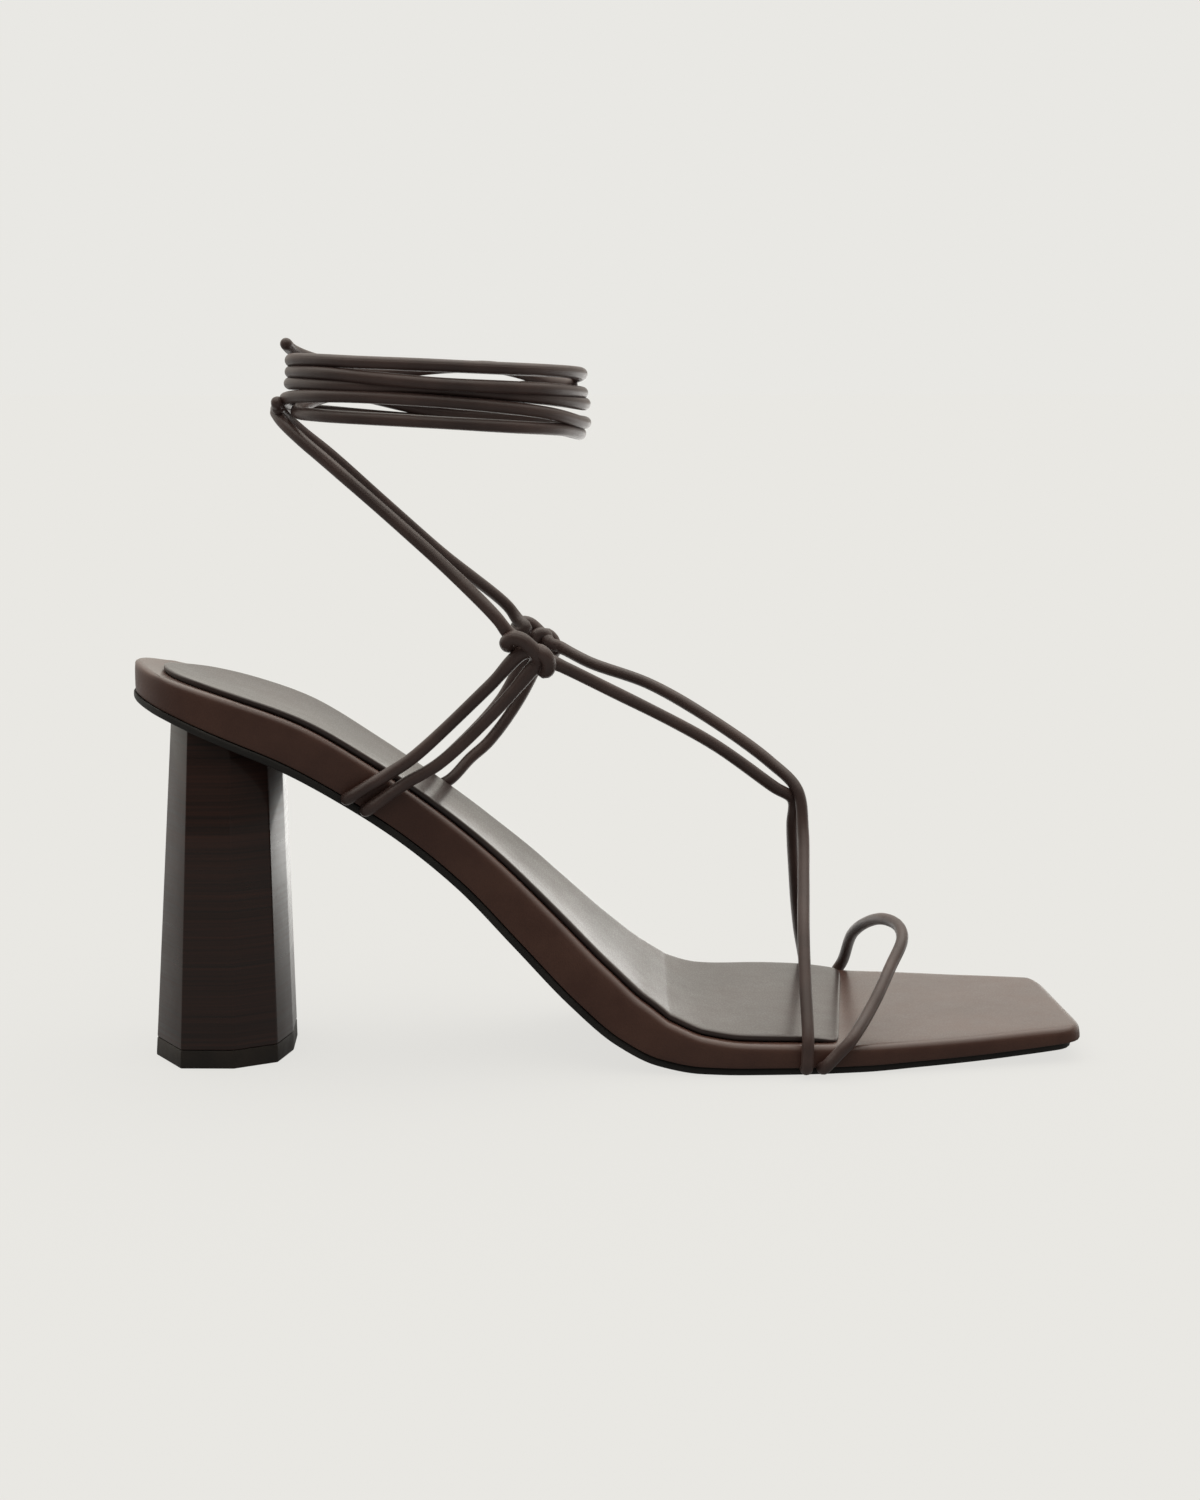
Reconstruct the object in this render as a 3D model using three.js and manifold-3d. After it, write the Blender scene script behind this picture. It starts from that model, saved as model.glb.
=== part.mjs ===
// High heeled sandal for the right foot: a thin outsole, a covered midsole, a padded sock,
// a faceted block heel with its tip, and round leather cords that tie round the ankle.
// Millimetres, +X to the toe, +Y to the inner side of the foot, +Z up.
import * as THREE from 'three';
import { mergeVertices } from 'three/addons/utils/BufferGeometryUtils.js';
import Module from 'manifold-3d';

const wasm = await Module();
wasm.setup();

// Sole
const soleLength = 228.8;
const heelRise = 87;
const heelSeatWidth = 49;
const waistWidth = 42;
const ballWidth = 83;
const toeWidth = 53;
const heelRoundLength = 25;
const toeCornerRadius = 5;
const midsoleDepth = 10;
const midsoleRimRadius = 2;
const outsoleThickness = 2;
const outsoleEdgeRadius = 0.5;
const outsoleInsetAtHeel = -0.4;
const outsoleInsetAtToe = 2.2;
const outsoleOverHeel = 12;
const heelSeatDish = 1.6;
const heelUprightLength = 36.6;
const ballSlant = 0.06;

// Sock
const sockThickness = 1.4;
const sockEdgeRadius = 0.6;
const sockInset = 3;
const sockInsetAtBack = 6.5;
const sockEndOuter = 0.243;
const sockEndInner = 0.296;

// Heel
const heelFromBack = 21.7;
const heelTopLength = 25.6;
const heelTopWidth = 42;
const heelFootLength = 33.7;
const heelFootWidth = 46.5;
const tipThickness = 4.5;

// Cords
const cordDiameter = 3;
const cordSides = 8;
const cordTuck = 5;
const knotHeight = 100;
const knotSpread = 58;
const knotSize = 10;
const apexHeight = 61;
const toeStrapHeight = 26.5;
const ankleHeight = 159;
const ankleFromBack = 73.4;
const ankleFromMiddle = 1.7;
const ankleLength = 69.5;
const ankleWidth = 56;
const ankleStack = 18;

// Fit
const clearance = 0.3;

// How finely the sole is divided
const soleStations = 45;
const soleColumns = 4;
const endCrowding = 0.75;
const endMargin = 0.0006;

// Plan of the sole, from the back of the heel to the toe. along is a share of the sole's length
// from its middle, outer and inner are shares of the width that the row follows.
const planSections = [
  { along: -0.5, width: heelSeatWidth, outer: 0.5, inner: 0.5 },
  { along: -0.453, width: heelSeatWidth, outer: 0.5, inner: 0.5 },
  { along: -0.397, width: heelSeatWidth, outer: 0.5, inner: 0.5 },
  { along: -0.34, width: heelSeatWidth, outer: 0.485, inner: 0.49 },
  { along: -0.279, width: waistWidth, outer: 0.525, inner: 0.525 },
  { along: -0.218, width: waistWidth, outer: 0.493, inner: 0.49 },
  { along: -0.161, width: waistWidth, outer: 0.507, inner: 0.495 },
  { along: -0.104, width: ballWidth, outer: 0.289, inner: 0.283 },
  { along: -0.047, width: ballWidth, outer: 0.341, inner: 0.343 },
  { along: 0.001, width: ballWidth, outer: 0.381, inner: 0.404 },
  { along: 0.044, width: ballWidth, outer: 0.412, inner: 0.458 },
  { along: 0.089, width: ballWidth, outer: 0.434, inner: 0.5 },
  { along: 0.132, width: ballWidth, outer: 0.446, inner: 0.53 },
  { along: 0.193, width: ballWidth, outer: 0.449, inner: 0.548 },
  { along: 0.255, width: ballWidth, outer: 0.436, inner: 0.536 },
  { along: 0.316, width: ballWidth, outer: 0.412, inner: 0.5 },
  { along: 0.377, width: ballWidth, outer: 0.383, inner: 0.446 },
  { along: 0.437, width: toeWidth, outer: 0.555, inner: 0.594 },
  { along: 0.5, width: toeWidth, outer: 0.513, inner: 0.49 },
];

// Profile of the sole at the same places: rise is a share of the heel's rise, depth of the
// midsole's depth, dish of the heel seat's dish and slant of the ball's slant, by which the
// inner side runs later than the outer one.
const profileSections = [
  { along: -0.5, rise: 1, depth: 0.84, dish: 0, slant: 0 },
  { along: -0.453, rise: 0.951, depth: 0.9, dish: 1, slant: 0 },
  { along: -0.397, rise: 0.889, depth: 0.95, dish: 1, slant: 0 },
  { along: -0.34, rise: 0.821, depth: 0.97, dish: 0.95, slant: 0 },
  { along: -0.279, rise: 0.726, depth: 0.93, dish: 0.8, slant: 0.1 },
  { along: -0.218, rise: 0.614, depth: 0.91, dish: 0.7, slant: 0.4 },
  { along: -0.161, rise: 0.487, depth: 0.93, dish: 0.6, slant: 0.7 },
  { along: -0.104, rise: 0.331, depth: 1, dish: 0.5, slant: 1 },
  { along: -0.047, rise: 0.178, depth: 1.03, dish: 0.45, slant: 1 },
  { along: 0.001, rise: 0.074, depth: 1, dish: 0.4, slant: 1 },
  { along: 0.044, rise: 0.021, depth: 0.88, dish: 0.35, slant: 1 },
  { along: 0.089, rise: 0.002, depth: 0.69, dish: 0.3, slant: 1 },
  { along: 0.132, rise: 0, depth: 0.57, dish: 0.25, slant: 1 },
  { along: 0.193, rise: 0, depth: 0.53, dish: 0.2, slant: 1 },
  { along: 0.255, rise: 0, depth: 0.48, dish: 0.1, slant: 1 },
  { along: 0.316, rise: 0.005, depth: 0.44, dish: 0, slant: 1 },
  { along: 0.377, rise: 0.011, depth: 0.42, dish: 0, slant: 1 },
  { along: 0.437, rise: 0.021, depth: 0.4, dish: 0, slant: 1 },
  { along: 0.5, rise: 0.035, depth: 0.34, dish: 0, slant: 1 },
];

// Corners of half the heel's plan, from the back face to the front face. fore is a share of
// the heel's length and side a share of its width, at the top and at the foot.
const heelCorners = [
  { topFore: -0.476, topSide: 0.2, footFore: -0.53, footSide: 0.2 },
  { topFore: -0.277, topSide: 0.487, footFore: -0.315, footSide: 0.482 },
  { topFore: 0.094, topSide: 0.5, footFore: 0.065, footSide: 0.5 },
  { topFore: 0.414, topSide: 0.378, footFore: 0.365, footSide: 0.383 },
  { topFore: 0.523, topSide: 0.146, footFore: 0.454, footSide: 0.146 },
];

// A smooth curve through one column of the sections, flat where its rows are flat.
function columnCurve(rows, read) {
  const x = rows.map((row) => row.along);
  const y = rows.map(read);
  const slope = [];
  for (let i = 0; i < x.length - 1; i += 1) {
    slope.push((y[i + 1] - y[i]) / (x[i + 1] - x[i]));
  }
  const tangent = y.map((value, i) => {
    const before = slope[Math.max(i - 1, 0)];
    const after = slope[Math.min(i, slope.length - 1)];
    return before * after > 0 ? (2 * before * after) / (before + after) : 0;
  });
  return (along) => {
    const at = THREE.MathUtils.clamp(along, x[0], x[x.length - 1]);
    let i = 0;
    while (i < x.length - 2 && at > x[i + 1]) {
      i += 1;
    }
    const span = x[i + 1] - x[i];
    const t = (at - x[i]) / span;
    const u = 1 - t;
    return y[i] * (1 + 2 * t) * u * u + y[i + 1] * t * t * (3 - 2 * t)
      + span * t * u * (tangent[i] * u - tangent[i + 1] * t);
  };
}

const outerAt = columnCurve(planSections, (row) => row.outer * row.width);
const innerAt = columnCurve(planSections, (row) => row.inner * row.width);
const riseAt = columnCurve(profileSections, (row) => row.rise * heelRise);
const depthAt = columnCurve(profileSections, (row) => row.depth * midsoleDepth);
const dishAt = columnCurve(profileSections, (row) => row.dish * heelSeatDish);
const slantAt = columnCurve(profileSections, (row) => row.slant * ballSlant);

// Half width left by the rounded heel and by the toe's corners, at one place along the sole.
function halfWidth(along, full) {
  const fromBack = (along + 0.5) * soleLength;
  const fromToe = (0.5 - along) * soleLength;
  let half = full;
  if (fromBack < heelRoundLength) {
    half *= Math.sqrt(1 - (1 - fromBack / heelRoundLength) ** 2);
  }
  if (fromToe < toeCornerRadius) {
    half -= toeCornerRadius - Math.sqrt(toeCornerRadius ** 2 - (toeCornerRadius - fromToe) ** 2);
  }
  return half;
}

// The underside's height over the floor.
function undersideAt(along, side) {
  return riseAt(along - (slantAt(along) * (side + outerAt(along))) / soleLength);
}

// How far the sole's wall leans with its slope: not at all at the heel's back, fully further on.
function leanAt(along) {
  return THREE.MathUtils.smoothstep(along, -0.5, heelUprightLength / soleLength - 0.5);
}

// A point of the sole: side is its place across and level its height over the underside.
function solePoint(along, side, level) {
  const step = 0.002;
  const fore = 2 * step * soleLength;
  const fall = undersideAt(along + step, side) - undersideAt(along - step, side);
  const slope = Math.hypot(fore, fall);
  return new THREE.Vector3(
    along * soleLength - (leanAt(along) * level * fall) / slope,
    side,
    undersideAt(along, side) + (level * fore) / slope,
  );
}

// Midsole and sock surfaces, as heights over the outsole's underside.
function midsoleBottom() {
  return outsoleThickness + clearance;
}

function midsoleTop(along, side) {
  const full = side < 0 ? outerAt(along) : innerAt(along);
  const off = 1 - Math.min(1, (side / full) ** 2);
  return midsoleBottom() + depthAt(along) - dishAt(along) * off;
}

function sockBottom(along, side) {
  return midsoleTop(along, side) + clearance;
}

// Places along the sole, closer together at the ends. Each pairs an outer with an inner one.
function outline(outerEnd, innerEnd) {
  const rows = [];
  for (let i = 0; i <= soleStations; i += 1) {
    const share = i / soleStations;
    const eased = share - (endCrowding * Math.sin(2 * Math.PI * share)) / (2 * Math.PI);
    const outerAlong = THREE.MathUtils.lerp(-0.5 + endMargin, outerEnd, eased);
    const innerAlong = THREE.MathUtils.lerp(-0.5 + endMargin, innerEnd, eased);
    const outer = [outerAlong, -halfWidth(outerAlong, outerAt(outerAlong))];
    const inner = [innerAlong, halfWidth(innerAlong, innerAt(innerAlong))];
    const row = [];
    for (let c = 0; c <= soleColumns; c += 1) {
      const mix = c / soleColumns;
      row.push([
        THREE.MathUtils.lerp(outer[0], inner[0], mix),
        THREE.MathUtils.lerp(outer[1], inner[1], mix),
      ]);
    }
    rows.push(row);
  }
  return rows;
}

// The rim of a grid of rows, once round.
function rimOf(rows) {
  const last = rows.length - 1;
  const rim = rows.map((row, i) => [i, 0]);
  for (let c = 1; c <= soleColumns; c += 1) {
    rim.push([last, c]);
  }
  for (let i = last - 1; i >= 0; i -= 1) {
    rim.push([i, soleColumns]);
  }
  for (let c = soleColumns - 1; c > 0; c -= 1) {
    rim.push([0, c]);
  }
  return rim;
}

// The same grid with its rim moved inwards, less far out at sharp corners than a mitre would be.
function insetGrid(rows, insetAt) {
  const sharpest = 0.6;
  const rim = rimOf(rows);
  const flat = rim.map(([i, c]) => new THREE.Vector2(rows[i][c][0] * soleLength, rows[i][c][1]));
  const moved = rows.map((row) => row.map((point) => [...point]));
  rim.forEach(([i, c], k) => {
    const before = flat[(k + flat.length - 1) % flat.length];
    const after = flat[(k + 1) % flat.length];
    const a = flat[k].clone().sub(before).normalize();
    const b = after.clone().sub(flat[k]).normalize();
    const inward = new THREE.Vector2(-a.y - b.y, a.x + b.x);
    const bend = inward.length() / 2;
    inward.normalize().multiplyScalar(insetAt(rows[i][c][0]) / Math.max(bend, sharpest));
    moved[i][c] = [(flat[k].x + inward.x) / soleLength, flat[k].y + inward.y];
  });
  const last = rows.length - 1;
  for (let i = 1; i < last; i += 1) {
    for (let c = 1; c < soleColumns; c += 1) {
      const mix = c / soleColumns;
      moved[i][c] = [0, 1].map((axis) => (
        THREE.MathUtils.lerp(moved[i][0][axis], moved[i][soleColumns][axis], mix)
      ));
    }
  }
  return moved;
}

// A closed layer of the sole. Each ring has an inset from the outline and a level, from the
// underside to the top; the first and last rings are filled across.
function layer(rows, rings) {
  const rim = rimOf(rows);
  const positions = [];
  const index = [];
  const grids = rings.map((ring) => insetGrid(rows, ring.inset));
  const put = (grid, i, c, level) => {
    const [along, side] = grid[i][c];
    const point = solePoint(along, side, level(along, side));
    positions.push(point.x, point.y, point.z);
    return positions.length / 3 - 1;
  };
  const loops = rings.map((ring, r) => rim.map(([i, c]) => put(grids[r], i, c, ring.level)));
  for (let r = 0; r < loops.length - 1; r += 1) {
    for (let k = 0; k < rim.length; k += 1) {
      const n = (k + 1) % rim.length;
      index.push(loops[r][k], loops[r][n], loops[r + 1][n]);
      index.push(loops[r][k], loops[r + 1][n], loops[r + 1][k]);
    }
  }
  const fill = (r, flip) => {
    const ids = grids[r].map((row) => row.map(() => -1));
    rim.forEach(([i, c], k) => {
      ids[i][c] = loops[r][k];
    });
    for (let i = 1; i < rows.length - 1; i += 1) {
      for (let c = 1; c < soleColumns; c += 1) {
        ids[i][c] = put(grids[r], i, c, rings[r].level);
      }
    }
    for (let i = 0; i < rows.length - 1; i += 1) {
      for (let c = 0; c < soleColumns; c += 1) {
        const quad = [ids[i][c], ids[i + 1][c], ids[i + 1][c + 1], ids[i][c + 1]];
        const order = flip ? [0, 3, 2, 0, 2, 1] : [0, 1, 2, 0, 2, 3];
        order.forEach((corner) => index.push(quad[corner]));
      }
    }
  };
  fill(0, true);
  fill(rings.length - 1, false);
  const geometry = new THREE.BufferGeometry();
  geometry.setAttribute('position', new THREE.Float32BufferAttribute(positions, 3));
  geometry.setIndex(index);
  return geometry;
}

// Solids for joins and cuts, and back to geometry.
function solidOf(geometry) {
  const bare = new THREE.BufferGeometry();
  bare.setAttribute('position', geometry.getAttribute('position').clone());
  if (geometry.index) {
    bare.setIndex(geometry.index.clone());
  }
  const merged = mergeVertices(bare, 1e-4);
  const place = merged.getAttribute('position');
  const corners = Array.from(merged.index.array);
  let volume = 0;
  const [a, b, c] = [0, 1, 2].map(() => new THREE.Vector3());
  for (let k = 0; k < corners.length; k += 3) {
    a.fromBufferAttribute(place, corners[k]);
    b.fromBufferAttribute(place, corners[k + 1]);
    c.fromBufferAttribute(place, corners[k + 2]);
    volume += a.dot(b.cross(c));
  }
  if (volume < 0) {
    for (let k = 0; k < corners.length; k += 3) {
      [corners[k], corners[k + 1]] = [corners[k + 1], corners[k]];
    }
  }
  return new wasm.Manifold(new wasm.Mesh({
    numProp: 3,
    vertProperties: new Float32Array(place.array),
    triVerts: new Uint32Array(corners),
  }));
}

function geometryOf(solid) {
  const mesh = solid.getMesh();
  const geometry = new THREE.BufferGeometry();
  geometry.setAttribute('position', new THREE.BufferAttribute(mesh.vertProperties, 3));
  geometry.setIndex(new THREE.BufferAttribute(mesh.triVerts, 1));
  return geometry;
}

function joined(solids) {
  return solids.reduce((whole, solid) => whole.add(solid));
}

// Drops the slivers that a cut leaves loose.
function largestBody(solid) {
  return solid.decompose().reduce((best, body) => (body.volume() > best.volume() ? body : best));
}

// Sole layers
const outsoleInset = (along) => (
  THREE.MathUtils.lerp(outsoleInsetAtHeel, outsoleInsetAtToe, along + 0.5)
);
const soleOutline = outline(0.5, 0.5);
const outsoleGeometry = layer(soleOutline, [
  { inset: (along) => outsoleInset(along) + outsoleEdgeRadius, level: () => 0 },
  { inset: outsoleInset, level: () => outsoleEdgeRadius },
  { inset: outsoleInset, level: () => outsoleThickness },
]);
const rimCut = midsoleRimRadius * (1 - Math.SQRT1_2);
const midsoleWhole = layer(soleOutline, [
  { inset: () => 0, level: midsoleBottom },
  { inset: () => 0, level: (along, side) => midsoleTop(along, side) - midsoleRimRadius },
  { inset: () => rimCut, level: (along, side) => midsoleTop(along, side) - rimCut },
  { inset: () => midsoleRimRadius, level: midsoleTop },
]);
const sockInsetAt = (along) => THREE.MathUtils.lerp(sockInsetAtBack, sockInset, leanAt(along));
const sockOutline = outline(sockEndOuter, sockEndInner);
const sockGeometry = layer(sockOutline, [
  { inset: sockInsetAt, level: sockBottom },
  {
    inset: sockInsetAt,
    level: (along, side) => sockBottom(along, side) + sockThickness - sockEdgeRadius,
  },
  {
    inset: (along) => sockInsetAt(along) + sockEdgeRadius,
    level: (along, side) => sockBottom(along, side) + sockThickness,
  },
]);

// Heel block, lofted between its foot and its top and cut to the sole
const heelFore = heelFromBack - soleLength / 2;

function heelRing(height) {
  const mix = height / heelRise;
  const half = heelCorners.map((corner) => new THREE.Vector3(
    heelFore + THREE.MathUtils.lerp(
      corner.footFore * heelFootLength,
      corner.topFore * heelTopLength,
      mix,
    ),
    THREE.MathUtils.lerp(corner.footSide * heelFootWidth, corner.topSide * heelTopWidth, mix),
    height,
  ));
  const mirrored = half.map((point) => new THREE.Vector3(point.x, -point.y, point.z));
  return [...mirrored, ...half.reverse()];
}

function heelLoft(low, high) {
  const rings = [heelRing(low), heelRing(high)];
  const count = rings[0].length;
  const positions = rings.flat().flatMap((point) => point.toArray());
  const index = [];
  for (let k = 0; k < count; k += 1) {
    const n = (k + 1) % count;
    index.push(k, n, count + n, k, count + n, count + k);
  }
  for (let k = 1; k < count - 1; k += 1) {
    index.push(0, k + 1, k, count, count + k, count + k + 1);
  }
  const geometry = new THREE.BufferGeometry();
  geometry.setAttribute('position', new THREE.Float32BufferAttribute(positions, 3));
  geometry.setIndex(index);
  return geometry;
}

const overHeel = layer(soleOutline, [
  { inset: () => -outsoleOverHeel, level: () => -clearance },
  { inset: () => -outsoleOverHeel, level: () => heelRise / 2 },
]);
const heelBlock = solidOf(heelLoft(tipThickness + clearance, heelRise))
  .subtract(solidOf(overHeel));
const heelTipGeometry = heelLoft(0, tipThickness);

// Cords
const cordRadius = cordDiameter / 2;

function cord(points, stepsPerSpan, radius = cordRadius) {
  const path = new THREE.CatmullRomCurve3(points, false, 'centripetal');
  path.getUtoTmapping = (share) => share;
  const section = new THREE.Shape();
  for (let k = 0; k < cordSides; k += 1) {
    const angle = ((k + 0.5) * 2 * Math.PI) / cordSides;
    const x = radius * Math.cos(angle);
    const y = radius * Math.sin(angle);
    if (k === 0) {
      section.moveTo(x, y);
    } else {
      section.lineTo(x, y);
    }
  }
  return solidOf(new THREE.ExtrudeGeometry(section, {
    steps: (points.length - 1) * stepsPerSpan,
    bevelEnabled: false,
    extrudePath: path,
  }));
}

// A point beside the sole's wall: edge is -1 outside or 1 inside, level a height over the
// underside and out the distance past the wall.
function besideSole({ along, edge, level, out }) {
  const full = edge < 0 ? outerAt(along) : innerAt(along);
  return solePoint(along, edge * (halfWidth(along, full) + out), level);
}

// Where a cord passes the rim, runs down the wall and tucks in under the midsole.
function tuckedEnd({ edge, rimAlong, footAlong }) {
  const off = cordRadius + clearance;
  const rim = midsoleBottom() + depthAt(rimAlong);
  const foot = midsoleBottom() + off;
  const tuck = midsoleBottom() + cordRadius;
  return [
    besideSole({ along: rimAlong, edge, level: rim + cordRadius, out: cordRadius }),
    besideSole({ along: (rimAlong + footAlong) / 2, edge, level: (rim + foot) / 2, out: off }),
    besideSole({ along: footAlong, edge, level: foot, out: cordRadius }),
    besideSole({ along: footAlong, edge, level: tuck, out: -cordTuck / 2 }),
    besideSole({ along: footAlong, edge, level: tuck, out: -cordTuck }),
  ];
}

const ends = {
  vampOuter: tuckedEnd({ edge: -1, rimAlong: 0.197, footAlong: 0.196 }),
  vampInner: tuckedEnd({ edge: 1, rimAlong: 0.242, footAlong: 0.244 }),
  toeOuter: tuckedEnd({ edge: -1, rimAlong: 0.241, footAlong: 0.214 }),
  toeInner: tuckedEnd({ edge: 1, rimAlong: 0.287, footAlong: 0.272 }),
  loopOuterBack: tuckedEnd({ edge: -1, rimAlong: -0.261, footAlong: -0.279 }),
  loopOuterFore: tuckedEnd({ edge: -1, rimAlong: -0.246, footAlong: -0.26 }),
  loopInnerBack: tuckedEnd({ edge: 1, rimAlong: -0.221, footAlong: -0.242 }),
  loopInnerFore: tuckedEnd({ edge: 1, rimAlong: -0.204, footAlong: -0.223 }),
};

// Free points of a cord: fore is a share of the sole's length from its middle, side of the
// spread of the knots and up of the height that the cord hangs from.
function freePoints(height, rows) {
  return rows.map((row) => new THREE.Vector3(
    row.fore * soleLength,
    row.side * knotSpread,
    row.up * height,
  ));
}

// A lace's path through its knot, round the top of a side loop. All are shares of the knot's
// size from its middle: fore, up, and out from the foot.
const knotPath = [
  { fore: -0.72, out: 0, up: 0.81 },
  { fore: -0.46, out: -0.05, up: 0.46 },
  { fore: -0.26, out: -0.25, up: 0.24 },
  { fore: -0.42, out: -0.18, up: 0.14 },
  { fore: -0.49, out: 0.05, up: 0.24 },
  { fore: -0.35, out: 0.23, up: 0.36 },
  { fore: -0.16, out: 0.28, up: 0.33 },
  { fore: 0.02, out: 0.28, up: 0.19 },
  { fore: 0.19, out: 0.22, up: 0 },
  { fore: 0.27, out: 0, up: -0.26 },
  { fore: 0.38, out: -0.03, up: -0.46 },
  { fore: 0.49, out: 0.16, up: -0.36 },
  { fore: 0.46, out: 0.27, up: -0.13 },
  { fore: 0.31, out: 0.24, up: 0.03 },
  { fore: 0.24, out: 0.08, up: 0.02 },
  { fore: 0.39, out: -0.13, up: -0.18 },
  { fore: 0.58, out: -0.05, up: -0.24 },
];

function knot(edge, middle) {
  return knotPath.map((row) => new THREE.Vector3(
    row.fore * knotSize,
    edge * row.out * knotSize,
    row.up * knotSize,
  ).add(middle));
}

const [knotOuterMiddle, knotInnerMiddle] = freePoints(knotHeight, [
  { fore: -0.088, side: -0.466, up: 1 },
  { fore: -0.073, side: 0.534, up: 0.976 },
]);

// Laces from the ankle through each knot and over the instep; they cross at the apex
const laceOuter = [
  ...freePoints(ankleHeight, [
    { fore: -0.349, side: 0.034, up: 0.978 },
    { fore: -0.339, side: -0.052, up: 0.961 },
    { fore: -0.32, side: -0.121, up: 0.936 },
    { fore: -0.289, side: -0.181, up: 0.899 },
    { fore: -0.176, side: -0.353, up: 0.758 },
  ]),
  ...knot(-1, knotOuterMiddle),
  ...freePoints(knotHeight, [
    { fore: -0.013, side: -0.379, up: 0.916 },
    { fore: 0.108, side: -0.103, up: 0.755 },
  ]),
  ...freePoints(apexHeight, [
    { fore: 0.181, side: 0.034, up: 1.033 },
    { fore: 0.203, side: 0.078, up: 0.974 },
    { fore: 0.204, side: 0.12, up: 0.862 },
    { fore: 0.213, side: 0.31, up: 0.636 },
    { fore: 0.228, side: 0.59, up: 0.345 },
  ]),
  ...ends.vampInner,
];
const laceInner = [
  ...freePoints(ankleHeight, [
    { fore: -0.345, side: -0.086, up: 0.994 },
    { fore: -0.341, side: 0, up: 0.974 },
    { fore: -0.324, side: 0.078, up: 0.948 },
    { fore: -0.293, side: 0.138, up: 0.91 },
    { fore: -0.178, side: 0.345, up: 0.756 },
  ]),
  ...knot(1, knotInnerMiddle),
  ...freePoints(knotHeight, [
    { fore: -0.013, side: 0.45, up: 0.915 },
    { fore: 0.051, side: 0.345, up: 0.867 },
    { fore: 0.116, side: 0.224, up: 0.786 },
  ]),
  ...freePoints(apexHeight, [
    { fore: 0.179, side: 0.12, up: 1.123 },
    { fore: 0.207, side: 0.05, up: 1.016 },
    { fore: 0.212, side: 0.0, up: 0.856 },
    { fore: 0.208, side: -0.155, up: 0.682 },
    { fore: 0.202, side: -0.345, up: 0.518 },
    { fore: 0.199, side: -0.5, up: 0.351 },
  ]),
  ...ends.vampOuter,
];

// Side loops from the rim up through each knot and back down
const loopOuter = [
  ...[...ends.loopOuterBack].reverse(),
  ...freePoints(knotHeight, [
    { fore: -0.205, side: -0.403, up: 0.75 },
    { fore: -0.128, side: -0.438, up: 0.917 },
    { fore: -0.092, side: -0.462, up: 1 },
    { fore: -0.081, side: -0.466, up: 0.998 },
    { fore: -0.078, side: -0.469, up: 0.979 },
    { fore: -0.087, side: -0.469, up: 0.952 },
    { fore: -0.122, side: -0.448, up: 0.859 },
    { fore: -0.18, side: -0.41, up: 0.733 },
  ]),
  ...ends.loopOuterFore,
];
const loopInner = [
  ...[...ends.loopInnerBack].reverse(),
  ...freePoints(knotHeight, [
    { fore: -0.173, side: 0.417, up: 0.678 },
    { fore: -0.113, side: 0.483, up: 0.818 },
    { fore: -0.069, side: 0.534, up: 0.984 },
    { fore: -0.061, side: 0.538, up: 0.976 },
    { fore: -0.065, side: 0.534, up: 0.943 },
    { fore: -0.091, side: 0.5, up: 0.822 },
    { fore: -0.126, side: 0.452, up: 0.715 },
    { fore: -0.147, side: 0.424, up: 0.674 },
  ]),
  ...ends.loopInnerFore,
];

// Ankle turns: turn is an angle round the ankle from its front, stack a share of the stack's
// height over its middle and out a share of the cord's diameter outwards.
function ankleTurns(rows) {
  return rows.map((row) => {
    const angle = THREE.MathUtils.degToRad(row.turn);
    const grow = row.out * cordDiameter;
    return new THREE.Vector3(
      ankleFromBack - soleLength / 2 + (ankleLength / 2 + grow) * Math.cos(angle),
      ankleFromMiddle + (ankleWidth / 2 + grow) * Math.sin(angle),
      ankleHeight + row.stack * ankleStack,
    );
  });
}

const turnsOfInner = ankleTurns([
  { turn: 168, stack: -0.11, out: 0.5 },
  { turn: 190, stack: -0.03, out: 0.45 },
  { turn: 225, stack: 0, out: 0.2 },
  { turn: 270, stack: -0.06, out: 0.1 },
  { turn: 315, stack: -0.21, out: 0.3 },
  { turn: 345, stack: -0.35, out: 0.3 },
  { turn: 375, stack: -0.35, out: 0.3 },
  { turn: 415, stack: -0.31, out: 0.1 },
  { turn: 450, stack: -0.24, out: 0 },
  { turn: 495, stack: 0.07, out: 0.1 },
  { turn: 540, stack: 0.16, out: 0.1 },
  { turn: 585, stack: 0.14, out: 0 },
  { turn: 630, stack: 0.08, out: -0.45 },
  { turn: 675, stack: -0.03, out: 0 },
  { turn: 710, stack: -0.11, out: 0.3 },
  { turn: 750, stack: -0.06, out: 0 },
  { turn: 810, stack: 0.08, out: -0.5 },
  { turn: 855, stack: 0.21, out: 0 },
  { turn: 900, stack: 0.31, out: 0 },
  { turn: 945, stack: 0.29, out: 0.1 },
  { turn: 990, stack: 0.16, out: 0.3 },
  { turn: 1035, stack: 0.09, out: 0.3 },
  { turn: 1070, stack: 0.04, out: 0.1 },
  { turn: 1110, stack: 0.03, out: 0.2 },
  { turn: 1170, stack: 0.09, out: 0.4 },
  { turn: 1215, stack: 0.4, out: 0.2 },
  { turn: 1245, stack: 0.59, out: 0.3 },
  { turn: 1258, stack: 0.7, out: 0.5 },
]);
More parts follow.
